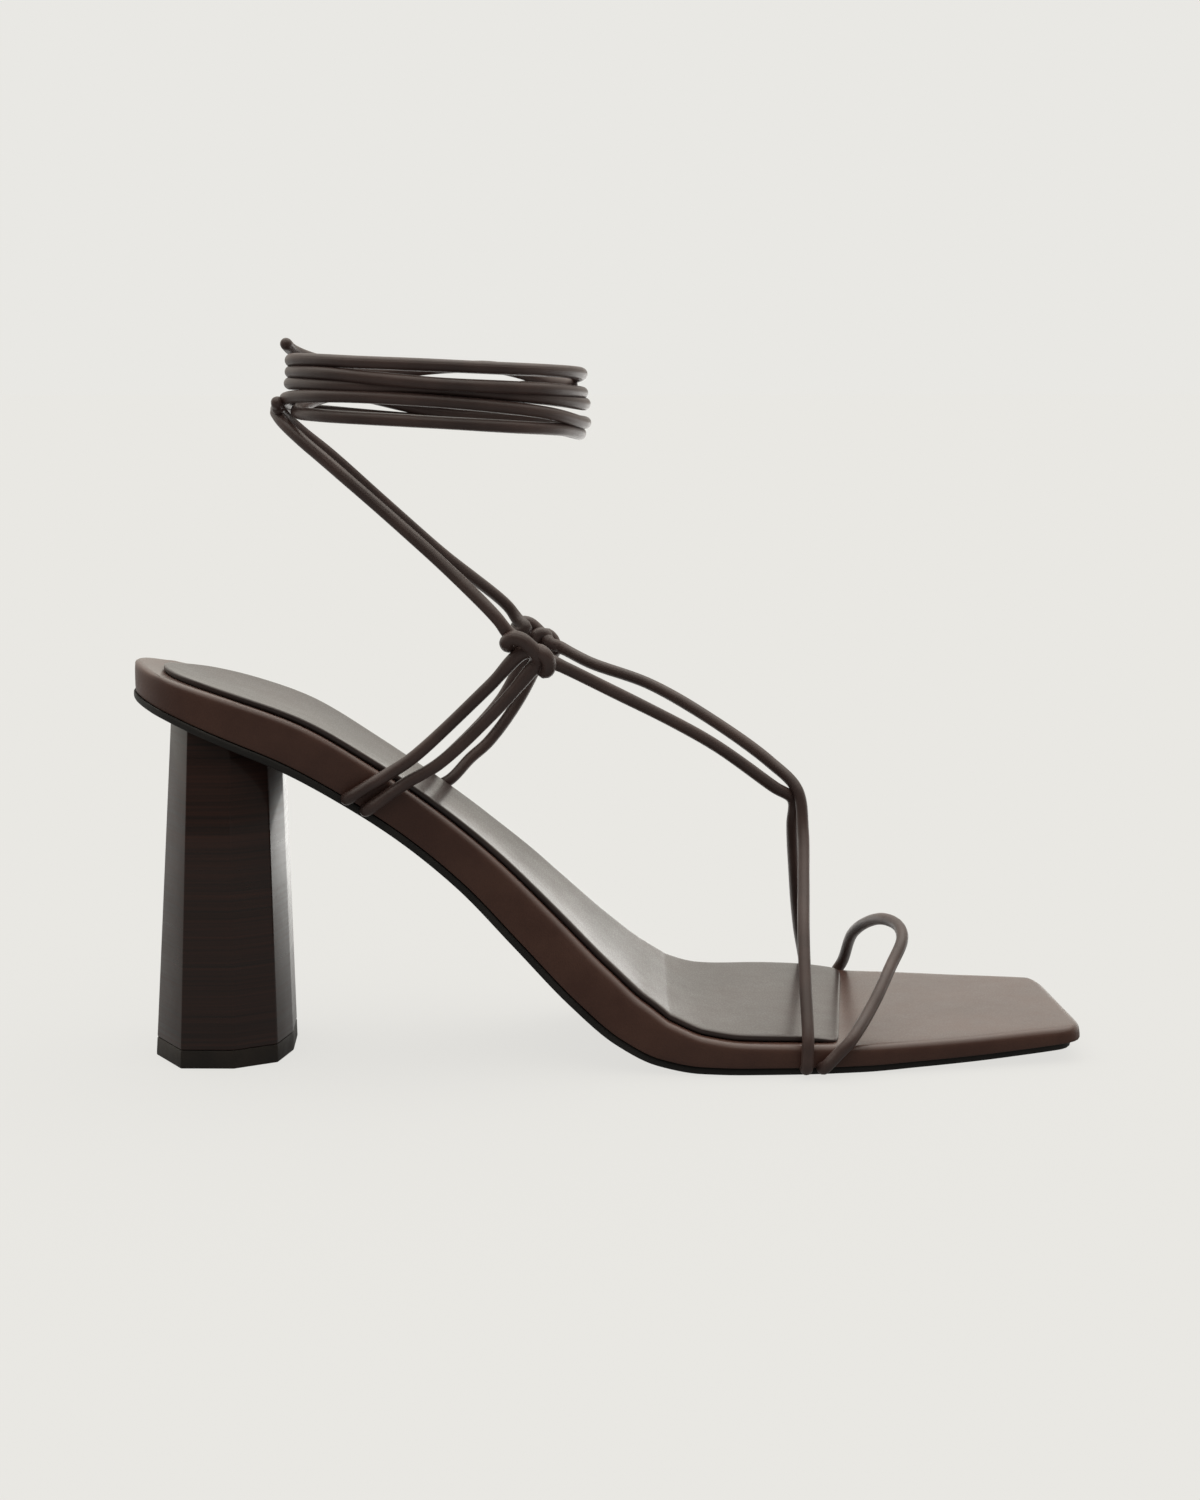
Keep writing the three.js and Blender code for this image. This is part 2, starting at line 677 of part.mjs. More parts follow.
const turnsOfOuter = ankleTurns([
  { turn: 190, stack: -0.17, out: 1.1 },
  { turn: 175, stack: -0.18, out: 1.2 },
  { turn: 150, stack: -0.2, out: 0.6 },
  { turn: 90, stack: -0.36, out: 0 },
  { turn: 45, stack: -0.42, out: 0 },
  { turn: 5, stack: -0.51, out: -0.1 },
  { turn: -30, stack: -0.44, out: 0 },
  { turn: -60, stack: -0.39, out: 0.1 },
  { turn: -100, stack: -0.31, out: 0 },
  { turn: -140, stack: -0.25, out: 0 },
  { turn: -175, stack: -0.2, out: -0.4 },
  { turn: -220, stack: 0, out: -0.6 },
  { turn: -270, stack: 0.05, out: -1 },
  { turn: -315, stack: 0.13, out: -0.3 },
  { turn: -350, stack: 0.26, out: 0 },
  { turn: -385, stack: 0.31, out: 0 },
  { turn: -430, stack: 0.36, out: 0 },
  { turn: -480, stack: 0.43, out: 0 },
  { turn: -530, stack: 0.47, out: 0 },
  { turn: -570, stack: 0.36, out: -0.3 },
  { turn: -605, stack: 0.31, out: -0.5 },
  { turn: -635, stack: 0.38, out: -0.6 },
  { turn: -655, stack: 0.38, out: -0.6 },
  { turn: -680, stack: 0.23, out: -0.5 },
  { turn: -710, stack: 0.13, out: -0.3 },
]);

const strapUpper = joined([
  cord(laceOuter, 2),
  cord(laceInner, 2),
  cord(loopOuter, 2),
  cord(loopInner, 2),
  cord(turnsOfInner, 3),
  cord(turnsOfOuter, 3),
]);

const toeStrapPoints = [
  ...[...ends.toeOuter].reverse(),
  ...freePoints(toeStrapHeight, [
    { fore: 0.271, side: -0.483, up: 0.565 },
    { fore: 0.297, side: -0.293, up: 0.81 },
    { fore: 0.316, side: -0.138, up: 0.985 },
    { fore: 0.318, side: 0, up: 1.05 },
    { fore: 0.307, side: 0.259, up: 1 },
    { fore: 0.291, side: 0.586, up: 0.7 },
  ]),
  ...ends.toeInner,
];
const toeStrap = cord(toeStrapPoints, 2);

// The midsole is grooved where cords pass its wall and tuck in
const grooves = Object.values(ends).map((points) => cord(points, 2, cordRadius + clearance));
const midsole = largestBody(solidOf(midsoleWhole).subtract(joined(grooves)));

const materials = {
  outsole: { color: 0x1f1c1b, roughness: 0.6 },
  midsole: { color: 0x40292a, roughness: 0.35 },
  sock: { color: 0x4a3b38, roughness: 0.4 },
  heel: { color: 0x2a1c1a, roughness: 0.45 },
  tip: { color: 0x1c1716, roughness: 0.7 },
  cord: { color: 0x3c2c2b, roughness: 0.4 },
};

function node(name, geometry, material) {
  const mesh = new THREE.Mesh(
    geometry,
    new THREE.MeshStandardMaterial({ ...material, metalness: 0 }),
  );
  mesh.name = name;
  return mesh;
}

const sandal = new THREE.Group();
sandal.add(
  node('outsole', outsoleGeometry, materials.outsole),
  node('midsole', geometryOf(midsole), materials.midsole),
  node('sock_pad', sockGeometry, materials.sock),
  node('heel_block', geometryOf(heelBlock), materials.heel),
  node('heel_tip', heelTipGeometry, materials.tip),
  node('strap_upper', geometryOf(strapUpper), materials.cord),
  node('toe_strap', geometryOf(toeStrap), materials.cord),
);

// The origin is on the floor, under the middle of the sandal.
const bounds = new THREE.Box3().setFromObject(sandal);
const middle = bounds.getCenter(new THREE.Vector3());
sandal.position.set(-middle.x, -middle.y, -bounds.min.z);

export default sandal;
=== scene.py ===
import math

import bpy
import numpy as np
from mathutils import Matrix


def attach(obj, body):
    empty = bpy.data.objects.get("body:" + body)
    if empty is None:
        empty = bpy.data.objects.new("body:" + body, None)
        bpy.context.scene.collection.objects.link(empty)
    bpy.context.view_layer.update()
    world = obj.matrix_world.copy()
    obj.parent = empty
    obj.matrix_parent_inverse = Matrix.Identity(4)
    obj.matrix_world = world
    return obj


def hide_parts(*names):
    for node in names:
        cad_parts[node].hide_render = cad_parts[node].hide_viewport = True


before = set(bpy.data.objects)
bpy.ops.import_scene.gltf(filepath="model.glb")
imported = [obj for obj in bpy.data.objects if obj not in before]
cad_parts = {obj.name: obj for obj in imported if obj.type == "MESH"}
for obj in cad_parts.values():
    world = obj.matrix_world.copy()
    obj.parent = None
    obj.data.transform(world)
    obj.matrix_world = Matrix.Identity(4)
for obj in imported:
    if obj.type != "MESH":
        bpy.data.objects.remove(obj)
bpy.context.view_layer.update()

# Named sizes of the sandal, in metres
MM = 0.001
SOLE_LENGTH = 228.8 * MM
HEEL_RISE = 87 * MM
HEEL_SEAT_WIDTH = 49 * MM
WAIST_WIDTH = 42 * MM
BALL_WIDTH = 83 * MM
TOE_WIDTH = 53 * MM
HEEL_ROUND_LENGTH = 25 * MM
TOE_CORNER_RADIUS = 5 * MM
MIDSOLE_DEPTH = 10 * MM
MIDSOLE_RIM_RADIUS = 2 * MM
MIDSOLE_FOOT_RADIUS = 0.5 * MM
OUTSOLE_THICKNESS = 2 * MM
OUTSOLE_EDGE_RADIUS = 0.5 * MM
HIDDEN_EDGE_RADIUS = 0.2 * MM
OUTSOLE_INSET_AT_HEEL = -0.4 * MM
OUTSOLE_INSET_AT_TOE = 2.2 * MM
HEEL_SEAT_DISH = 1.6 * MM
HEEL_UPRIGHT_LENGTH = 36.6 * MM
BALL_SLANT = 0.06
SOCK_THICKNESS = 1.4 * MM
SOCK_EDGE_RADIUS = 0.6 * MM
SOCK_INSET = 3 * MM
SOCK_INSET_AT_BACK = 6.5 * MM
SKIVE_LENGTH = 14 * MM
SKIVED_SHARE = 0.35
SOCK_END_OUTER = 0.243
SOCK_END_INNER = 0.296
SOLE_FIT = 0.3 * MM
LAYER_GAP = 0.06 * MM
HEEL_FROM_BACK = 21.7 * MM
HEEL_TOP_LENGTH = 25.6 * MM
HEEL_TOP_WIDTH = 42 * MM
HEEL_FOOT_LENGTH = 33.7 * MM
HEEL_FOOT_WIDTH = 46.5 * MM
HEEL_EDGE_RADIUS = 0.4 * MM
HEEL_INTO_OUTSOLE = 0.15 * MM
TIP_THICKNESS = 4.5 * MM
TIP_EDGE_RADIUS = 0.35 * MM
CORD_DIAMETER = 3 * MM
CORD_TUCK = 5 * MM
SEAM_DEPTH = 1.6 * MM
KNOT_PRESS = 0.16
KNOT_HEIGHT = 100 * MM
KNOT_SPREAD = 58 * MM
KNOT_SIZE = 10 * MM
APEX_HEIGHT = 61 * MM
TOE_STRAP_HEIGHT = 26.5 * MM
ANKLE_HEIGHT = 159 * MM
ANKLE_FROM_BACK = 73.4 * MM
ANKLE_FROM_MIDDLE = 1.7 * MM
ANKLE_LENGTH = 69.5 * MM
ANKLE_WIDTH = 56 * MM
ANKLE_STACK = 18 * MM

# How finely boards, outlines and cords are made
SOLE_GRID = (72, 10)
SOCK_GRID = (64, 10)
OUTLINE_STEPS = 2400
SIDE_STEPS = 400
CORD_SIDES = 18
CORD_STEP = 0.7 * MM
CURVE_STEPS = 24

# How much of the outline, at the back and at the toe, makes the short sides of a board's grid
BACK_ARC = 18 * MM
TOE_ARC = 4 * MM

# Unevenness of a cord along its length: waves, each a share of its radius, the length over which
# the wave turns by one radian, and where it starts.
SLACK_WAVES = ((0.012, 9 * MM, 0), (0.01, 3.7 * MM, 1))

# Where the middle of the sole lies over the floor
SOLE_MIDDLE = np.array([0.2118, -3.7677, 0]) * MM

# Sections of the sole from the heel's back to the toe. along is a share of the sole's length,
# rise of the heel's rise, outer and inner of the width named in across, depth of the midsole's
# depth, dish of the heel seat's dish and slant of the ball's slant.
SECTION_COLUMNS = ("along", "rise", "across", "outer", "inner", "depth", "dish", "slant")
SOLE_SECTIONS = [
    (-0.5, 1, HEEL_SEAT_WIDTH, 0.5, 0.5, 0.84, 0, 0),
    (-0.453, 0.951, HEEL_SEAT_WIDTH, 0.5, 0.5, 0.9, 1, 0),
    (-0.397, 0.889, HEEL_SEAT_WIDTH, 0.5, 0.5, 0.95, 1, 0),
    (-0.34, 0.821, HEEL_SEAT_WIDTH, 0.485, 0.49, 0.97, 0.95, 0),
    (-0.279, 0.726, WAIST_WIDTH, 0.525, 0.525, 0.93, 0.8, 0.1),
    (-0.218, 0.614, WAIST_WIDTH, 0.493, 0.49, 0.91, 0.7, 0.4),
    (-0.161, 0.487, WAIST_WIDTH, 0.507, 0.495, 0.93, 0.6, 0.7),
    (-0.104, 0.331, BALL_WIDTH, 0.289, 0.283, 1, 0.5, 1),
    (-0.047, 0.178, BALL_WIDTH, 0.341, 0.343, 1.03, 0.45, 1),
    (0.001, 0.074, BALL_WIDTH, 0.381, 0.404, 1, 0.4, 1),
    (0.044, 0.021, BALL_WIDTH, 0.412, 0.458, 0.88, 0.35, 1),
    (0.089, 0.002, BALL_WIDTH, 0.434, 0.5, 0.69, 0.3, 1),
    (0.132, 0, BALL_WIDTH, 0.446, 0.53, 0.57, 0.25, 1),
    (0.193, 0, BALL_WIDTH, 0.449, 0.548, 0.53, 0.2, 1),
    (0.255, 0, BALL_WIDTH, 0.436, 0.536, 0.48, 0.1, 1),
    (0.316, 0.005, BALL_WIDTH, 0.412, 0.5, 0.44, 0, 1),
    (0.377, 0.011, BALL_WIDTH, 0.383, 0.446, 0.42, 0, 1),
    (0.437, 0.021, TOE_WIDTH, 0.555, 0.594, 0.4, 0, 1),
    (0.5, 0.035, TOE_WIDTH, 0.513, 0.49, 0.34, 0, 1),
]
SECTIONS = {name: np.array([row[i] for row in SOLE_SECTIONS])
            for i, name in enumerate(SECTION_COLUMNS)}

# Corners of half the heel's plan, back face to front face: fore is a share of the heel's length
# and side of its width, at the top and at the foot.
HEEL_CORNERS = [
    (-0.476, 0.2, -0.53, 0.2),
    (-0.277, 0.487, -0.315, 0.482),
    (0.094, 0.5, 0.065, 0.5),
    (0.414, 0.378, 0.365, 0.383),
    (0.523, 0.146, 0.454, 0.146),
]
HEEL_SIDES = 2 * len(HEEL_CORNERS)


# The sole's shape

def column_curve(values):
    """A smooth curve through one column of the sections, flat where its rows are flat."""
    x, y = SECTIONS["along"], values
    slope = np.diff(y) / np.diff(x)
    before = np.concatenate(([slope[0]], slope))
    after = np.concatenate((slope, [slope[-1]]))
    same = before * after > 0
    total = np.where(same, before + after, 1)
    tangent = np.where(same, 2 * before * after / total, 0)

    def at(along):
        a = np.clip(along, x[0], x[-1])
        i = np.clip(np.searchsorted(x, a, side="left") - 1, 0, len(x) - 2)
        span = x[i + 1] - x[i]
        t = (a - x[i]) / span
        u = 1 - t
        return (y[i] * (1 + 2 * t) * u * u + y[i + 1] * t * t * (3 - 2 * t)
                + span * t * u * (tangent[i] * u - tangent[i + 1] * t))

    return at


rise_at = column_curve(SECTIONS["rise"] * HEEL_RISE)
outer_at = column_curve(SECTIONS["outer"] * SECTIONS["across"])
inner_at = column_curve(SECTIONS["inner"] * SECTIONS["across"])
depth_at = column_curve(SECTIONS["depth"] * MIDSOLE_DEPTH)
dish_at = column_curve(SECTIONS["dish"] * HEEL_SEAT_DISH)
slant_at = column_curve(SECTIONS["slant"] * BALL_SLANT)


def half_width(along, full):
    """Half the sole's width, rounded at the heel and at the toe's corners."""
    from_back = (np.asarray(along, float) + 0.5) * SOLE_LENGTH
    from_toe = (0.5 - np.asarray(along, float)) * SOLE_LENGTH
    back = np.clip(1 - from_back / HEEL_ROUND_LENGTH, 0, 1)
    half = full * np.sqrt(1 - back ** 2)
    corner = np.clip(TOE_CORNER_RADIUS - from_toe, 0, TOE_CORNER_RADIUS)
    return half - TOE_CORNER_RADIUS + np.sqrt(TOE_CORNER_RADIUS ** 2 - corner ** 2)


def underside_at(along, side):
    """Height of the sole's underside over the floor."""
    return rise_at(along - slant_at(along) * (side + outer_at(along)) / SOLE_LENGTH)


def lean_at(along):
    """How far the wall leans with its slope: not at all at the heel's back, fully further on."""
    share = np.clip((along + 0.5) * SOLE_LENGTH / HEEL_UPRIGHT_LENGTH, 0, 1)
    return share * share * (3 - 2 * share)


def sole_point(along, side, level):
    """Points of the sole: side is across it and level is the height over its underside."""
    along, side, level = (np.asarray(v, float) for v in (along, side, level))
    step = 0.002
    fore = 2 * step * SOLE_LENGTH
    fall = underside_at(along + step, side) - underside_at(along - step, side)
    slope = np.hypot(fore, fall)
    return np.stack([
        along * SOLE_LENGTH - lean_at(along) * level * fall / slope,
        side + 0 * along,
        underside_at(along, side) + level * fore / slope,
    ], axis=-1) + SOLE_MIDDLE


def midsole_top(along, side):
    """Height of the midsole's top over the underside, dished at the heel seat."""
    full = np.where(side < 0, outer_at(along), inner_at(along))
    off = 1 - np.minimum(1, (side / full) ** 2)
    return OUTSOLE_THICKNESS + SOLE_FIT + depth_at(along) - dish_at(along) * off


# Boards: each layer of the sole is cut flat, given its edges and bent over the last

def rim_line(edge):
    """One side of the outline from the middle of the heel's back to the toe, seen from above,
    with its points close together at both ends."""
    share = np.linspace(0, 1, OUTLINE_STEPS)
    crowding = 0.98
    along = -0.5 + (share - crowding * np.sin(2 * np.pi * share) / (2 * np.pi))
    full = outer_at(along) if edge < 0 else inner_at(along)
    return np.column_stack([along * SOLE_LENGTH, edge * half_width(along, full)])


def inset_line(line, edge, inset):
    """The same line moved inwards by an inset that may change along the sole."""
    ahead = np.gradient(line, axis=0)
    ahead /= np.linalg.norm(ahead, axis=1)[:, None]
    inward = np.column_stack([-ahead[:, 1], ahead[:, 0]]) * -edge
    moved = line + inward * inset(line[:, 0] / SOLE_LENGTH)[:, None]
    moved[0, 1] = 0
    return moved


def run_of(line):
    """The length of a line up to each of its points."""
    return np.concatenate(([0], np.cumsum(np.linalg.norm(np.diff(line, axis=0), axis=1))))


def along_line(line, share):
    """Points at shares of a line's length."""
    run = run_of(line)
    at = np.asarray(share) * run[-1]
    return np.column_stack([np.interp(at, run, line[:, 0]), np.interp(at, run, line[:, 1])])


def line_parts(line, lengths):
    """Cuts a line at distances from its start, negative ones from its end."""
    length = run_of(line)[-1]
    cuts = [0] + [v if v >= 0 else length + v for v in lengths] + [length]
    return [along_line(line, np.linspace(a, b, SIDE_STEPS) / length)
            for a, b in zip(cuts, cuts[1:])]


def four_sides(outer, inner, back, front):
    """The outline as four lines: across the back, along both sides and across the front."""
    outer_back, outer_side, outer_front = line_parts(outer, [back, -front])
    inner_back, inner_side, inner_front = line_parts(inner, [back, -front])
    return {
        "back": np.vstack([outer_back[::-1], inner_back]),
        "outer": outer_side,
        "inner": inner_side,
        "front": np.vstack([outer_front, inner_front[::-1]]),
    }


def only(obj):
    """Selects one object alone and makes it the active one."""
    bpy.ops.object.select_all(action="DESELECT")
    obj.select_set(True)
    bpy.context.view_layer.objects.active = obj


def cut_board(name, sides, thickness, rows, columns):
    """A flat board with the outline of four lines, from a grid that is given a thickness."""
    bpy.ops.object.select_all(action="DESELECT")
    bpy.ops.mesh.primitive_grid_add(x_subdivisions=rows, y_subdivisions=columns, size=1)
    board = bpy.context.object
    board.name = board.data.name = name
    grid = vertices_of(board)
    u, w = grid[:, 0] + 0.5, grid[:, 1] + 0.5
    outer, inner = along_line(sides["outer"], u), along_line(sides["inner"], u)
    back, front = along_line(sides["back"], w), along_line(sides["front"], w)
    u, w = u[:, None], w[:, None]
    corner = [sides["outer"][0], sides["outer"][-1], sides["inner"][0], sides["inner"][-1]]
    flat = ((1 - w) * outer + w * inner + (1 - u) * back + u * front
            - (1 - u) * (1 - w) * corner[0] - u * (1 - w) * corner[1]
            - (1 - u) * w * corner[2] - u * w * corner[3])
    place(board, np.column_stack([flat, np.zeros(len(flat))]))
    only(board)
    bpy.ops.object.mode_set(mode="EDIT")
    bpy.ops.mesh.select_all(action="SELECT")
    bpy.ops.mesh.extrude_region_move(TRANSFORM_OT_translate={"value": (0, 0, thickness)})
    bpy.ops.mesh.select_all(action="SELECT")
    bpy.ops.mesh.normals_make_consistent(inside=False)
    bpy.ops.object.mode_set(mode="OBJECT")
    return board


def vertices_of(obj):
    """A piece's vertices, one row each."""
    co = np.zeros(len(obj.data.vertices) * 3)
    obj.data.vertices.foreach_get("co", co)
    return co.reshape(-1, 3)


def place(obj, points):
    """Moves a piece's vertices to points."""
    obj.data.vertices.foreach_set("co", np.asarray(points, float).ravel())
    obj.data.update()


def round_rim(board, height, radius, segments):
    """Rounds the rim of a flat board's top or bottom, which lies at a height."""
    rim = {}
    for face in board.data.polygons:
        wall = abs(face.normal.z) < 0.5
        for key in face.edge_keys:
            rim.setdefault(key, set()).add(wall)
    rim = {key for key, kinds in rim.items() if len(kinds) == 2}
    mesh = board.data
    only(board)
    bpy.ops.object.mode_set(mode="EDIT")
    bpy.ops.mesh.select_mode(type="EDGE")
    bpy.ops.mesh.select_all(action="DESELECT")
    bpy.ops.object.mode_set(mode="OBJECT")
    for edge in mesh.edges:
        near = all(abs(mesh.vertices[v].co.z - height) < 1e-6 for v in edge.vertices)
        edge.select = near and edge.key in rim
    bpy.ops.object.mode_set(mode="EDIT")
    bpy.ops.mesh.bevel(offset=radius, segments=segments, profile=0.5, clamp_overlap=False)
    bpy.ops.object.mode_set(mode="OBJECT")


def smooth(obj, levels, angle=40):
    """Rounds a piece with a subdivision surface and smooths its shading."""
    only(obj)
    if levels:
        rounding = obj.modifiers.new("rounding", "SUBSURF")
        rounding.levels = rounding.render_levels = levels
        bpy.ops.object.modifier_apply(modifier=rounding.name)
    bpy.ops.object.shade_smooth_by_angle(angle=math.radians(angle))


def bend_over_last(board, level_of):
    """Bends a flat board over the last: level_of gives each point's height over the underside."""
    flat = vertices_of(board)
    along, side = flat[:, 0] / SOLE_LENGTH, flat[:, 1]
    place(board, sole_point(along, side, level_of(along, side, flat[:, 2])))


def mark(obj, name, values):
    """Keeps one number for each vertex, for the piece's material."""
    layer = obj.data.attributes.new(name, "FLOAT", "POINT")
    layer.data.foreach_set("value", np.asarray(values, np.float32))


def dressed(obj, material, slot, *nodes):
    """Gives a finished piece its material, hangs it under the root and hides the solids that it
    stands for.
    """
    obj.data.materials.clear()
    obj.data.materials.append(material)
    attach(obj, "root")
    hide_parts(*nodes)


def full_sides(inset):
    """The outline of a layer that reaches from the heel's back to the toe."""
    outer, inner = (inset_line(rim_line(edge), edge, inset) for edge in (-1, 1))
    end = 0.5 * (outer[-1] + inner[-1])
    front = 0.5 * (np.linalg.norm(outer[-1] - end) + np.linalg.norm(inner[-1] - end)) + TOE_ARC
    return four_sides(np.vstack([outer, end]), np.vstack([inner, end]), BACK_ARC, front)


def make_outsole():
    """One thin sheet under the whole sole."""
    def inset(along):
        change = OUTSOLE_INSET_AT_TOE - OUTSOLE_INSET_AT_HEEL
        return OUTSOLE_INSET_AT_HEEL + change * (along + 0.5)

    board = cut_board("outsole_sheet", full_sides(inset), OUTSOLE_THICKNESS, *SOLE_GRID)
    round_rim(board, 0, OUTSOLE_EDGE_RADIUS, segments=2)
    round_rim(board, OUTSOLE_THICKNESS, HIDDEN_EDGE_RADIUS, segments=1)
    smooth(board, 1)
    bend_over_last(board, lambda along, side, z: z)
    return board


def make_midsole():
    """The covered board and platform, whose wall takes the depth of each section."""
    height = MIDSOLE_DEPTH
    board = cut_board("midsole_wrap", full_sides(lambda along: 0 * along), height, *SOLE_GRID)
    round_rim(board, 0, MIDSOLE_FOOT_RADIUS, segments=2)
    round_rim(board, height, MIDSOLE_RIM_RADIUS, segments=4)
    smooth(board, 1)
    bottom = OUTSOLE_THICKNESS + LAYER_GAP
    shoulder = height - MIDSOLE_RIM_RADIUS

    def level(along, side, z):
        top = midsole_top(along, side)
        wall = bottom + z / shoulder * (top - MIDSOLE_RIM_RADIUS - bottom)
        return np.where(z > shoulder, top - (height - z), wall)

    mark(board, "top", np.clip((vertices_of(board)[:, 2] - shoulder) / MIDSOLE_RIM_RADIUS, 0, 1))
    bend_over_last(board, level)
    return board


def make_sock():
    """The sock stops short of the rim, and at its seam behind the toe cover, where it is thin."""
    def inset(along):
        return SOCK_INSET_AT_BACK + (SOCK_INSET - SOCK_INSET_AT_BACK) * lean_at(along)

    outer_end = np.array([SOCK_END_OUTER * SOLE_LENGTH, -outer_at(SOCK_END_OUTER)])
    inner_end = np.array([SOCK_END_INNER * SOLE_LENGTH, inner_at(SOCK_END_INNER)])
    seam = (inner_end - outer_end) / np.linalg.norm(inner_end - outer_end)
    forward = np.array([seam[1], -seam[0]])
    lines = []
    for edge in (-1, 1):
        line = inset_line(rim_line(edge), edge, inset)
        ahead = (line - outer_end) @ forward + SOCK_INSET
        last = np.argmax(ahead > 0)
        mix = -ahead[last - 1] / (ahead[last] - ahead[last - 1])
        at_seam = line[last - 1] + mix * (line[last] - line[last - 1])
        lines.append(np.vstack([line[:last], at_seam]))
    outer, inner = lines
    end = 0.5 * (outer[-1] + inner[-1])
    front = 0.5 * np.linalg.norm(outer[-1] - inner[-1])
    sides = four_sides(np.vstack([outer, end]), np.vstack([inner, end]), BACK_ARC, front)
    height = SOCK_THICKNESS + SOLE_FIT - LAYER_GAP
    board = cut_board("padded_sock", sides, height, *SOCK_GRID)
    round_rim(board, 0, HIDDEN_EDGE_RADIUS, segments=1)
    round_rim(board, height, SOCK_EDGE_RADIUS, segments=3)
    smooth(board, 1)
    flat = vertices_of(board)
    from_seam = np.clip(((outer_end - flat[:, :2]) @ forward - SOCK_INSET) / SKIVE_LENGTH, 0, 1)
    flat[:, 2] *= SKIVED_SHARE + (1 - SKIVED_SHARE) * from_seam * (2 - from_seam)
    place(board, flat)
    # The edge attribute marks the sock's side wall behind the seam, which the sock's material
    # paints near-black as painted shade.
    wall = np.clip(1 - flat[:, 2] / (height - SOCK_EDGE_RADIUS), 0, 1)
    behind_seam = from_seam > 0.2
    mark(board, "edge", wall * behind_seam)
    bend_over_last(board, lambda along, side, z: midsole_top(along, side) + LAYER_GAP + z)
    return board


# Heel

def heel_ring(height):
    """The heel's ten corners at one height, once round."""
    mix = height / HEEL_RISE
    half = [((1 - mix) * foot_fore * HEEL_FOOT_LENGTH + mix * top_fore * HEEL_TOP_LENGTH,
             (1 - mix) * foot_side * HEEL_FOOT_WIDTH + mix * top_side * HEEL_TOP_WIDTH)
            for top_fore, top_side, foot_fore, foot_side in HEEL_CORNERS]
    ring = [(x, -y) for x, y in half] + half[::-1]
    middle = np.array([HEEL_FROM_BACK - SOLE_LENGTH / 2, 0])
    return [np.append(np.array(corner) + middle, height) for corner in ring]


def under_the_sole(corner):
    """The height at which a corner's edge meets the outsole, closed in on in a few steps."""
    height = HEEL_RISE
    for _ in range(12):
        x, y = heel_ring(height)[corner][:2]
        height = float(underside_at(x / SOLE_LENGTH, y))
    return height


def bearing(point):
    """The direction of a point seen from above, from 0 once round."""
    return math.atan2(point[1], point[0]) % (2 * math.pi)


def make_heel_part(name, lows, highs, edge_radius):
    """A ten-sided piece of the heel from a cylinder: lows and highs are its corners' heights."""
    bpy.ops.object.select_all(action="DESELECT")
    bpy.ops.mesh.primitive_cylinder_add(vertices=HEEL_SIDES, radius=1, depth=2)
    piece = bpy.context.object
    piece.name = piece.data.name = name
    round_one = vertices_of(piece)
    points = round_one.copy()
    for level, heights in ((-1, lows), (1, highs)):
        ids = [i for i in range(len(points)) if round_one[i, 2] * level > 0]
        ids.sort(key=lambda i: bearing(round_one[i]))
        ring = [heel_ring(height)[k] for k, height in enumerate(heights)]
        middle = np.mean(ring, axis=0)
        order = sorted(range(HEEL_SIDES), key=lambda k: bearing(ring[k] - middle))
        for i, k in zip(ids, order):
            points[i] = ring[k]
    place(piece, points + SOLE_MIDDLE)
    only(piece)
    bpy.ops.object.mode_set(mode="EDIT")
    bpy.ops.mesh.select_all(action="SELECT")
    bpy.ops.mesh.bevel(offset=edge_radius, segments=2, profile=0.5)
    bpy.ops.object.mode_set(mode="OBJECT")
    smooth(piece, 0, angle=25)
    return piece


# Cords

def beside_sole(along, edge, level, out):
    """A point beside the sole's wall: edge is -1 outside or 1 inside, out a distance past it."""
    full = outer_at(along) if edge < 0 else inner_at(along)
    return sole_point(along, edge * (half_width(along, full) + out), level)


def tucked_end(edge, rim_along, foot_along):
    """Where a cord passes the rim, runs down the wall and tucks in under the midsole."""
    radius = CORD_DIAMETER / 2
    bottom = OUTSOLE_THICKNESS + SOLE_FIT
    off = radius + SOLE_FIT
    rim = bottom + depth_at(rim_along)
    foot = bottom + off
    return [
        beside_sole(rim_along, edge, rim + radius, radius),
        beside_sole((rim_along + foot_along) / 2, edge, (rim + foot) / 2, off),
        beside_sole(foot_along, edge, foot - SEAM_DEPTH, radius),
        beside_sole(foot_along, edge, bottom + radius - SEAM_DEPTH, -CORD_TUCK / 2),
        beside_sole(foot_along, edge, bottom + radius - SEAM_DEPTH, -CORD_TUCK),
    ]


# The cords' fixed ends: where each passes the rim and where it meets the foot of the wall, as
# shares of the sole's length.
ENDS = {
    "vamp_outer": tucked_end(-1, 0.197, 0.196),
    "vamp_inner": tucked_end(1, 0.242, 0.244),
    "toe_outer": tucked_end(-1, 0.241, 0.214),
    "toe_inner": tucked_end(1, 0.287, 0.272),
    "loop_outer_back": tucked_end(-1, -0.261, -0.279),
    "loop_outer_fore": tucked_end(-1, -0.246, -0.26),
    "loop_inner_back": tucked_end(1, -0.221, -0.242),
    "loop_inner_fore": tucked_end(1, -0.204, -0.223),
}


def free_points(height, rows):
    """Free points of a cord: shares of the sole's length, of the knots' spread and of a height."""
    return [np.array([fore * SOLE_LENGTH, side * KNOT_SPREAD, up * height]) + SOLE_MIDDLE
            for fore, side, up in rows]


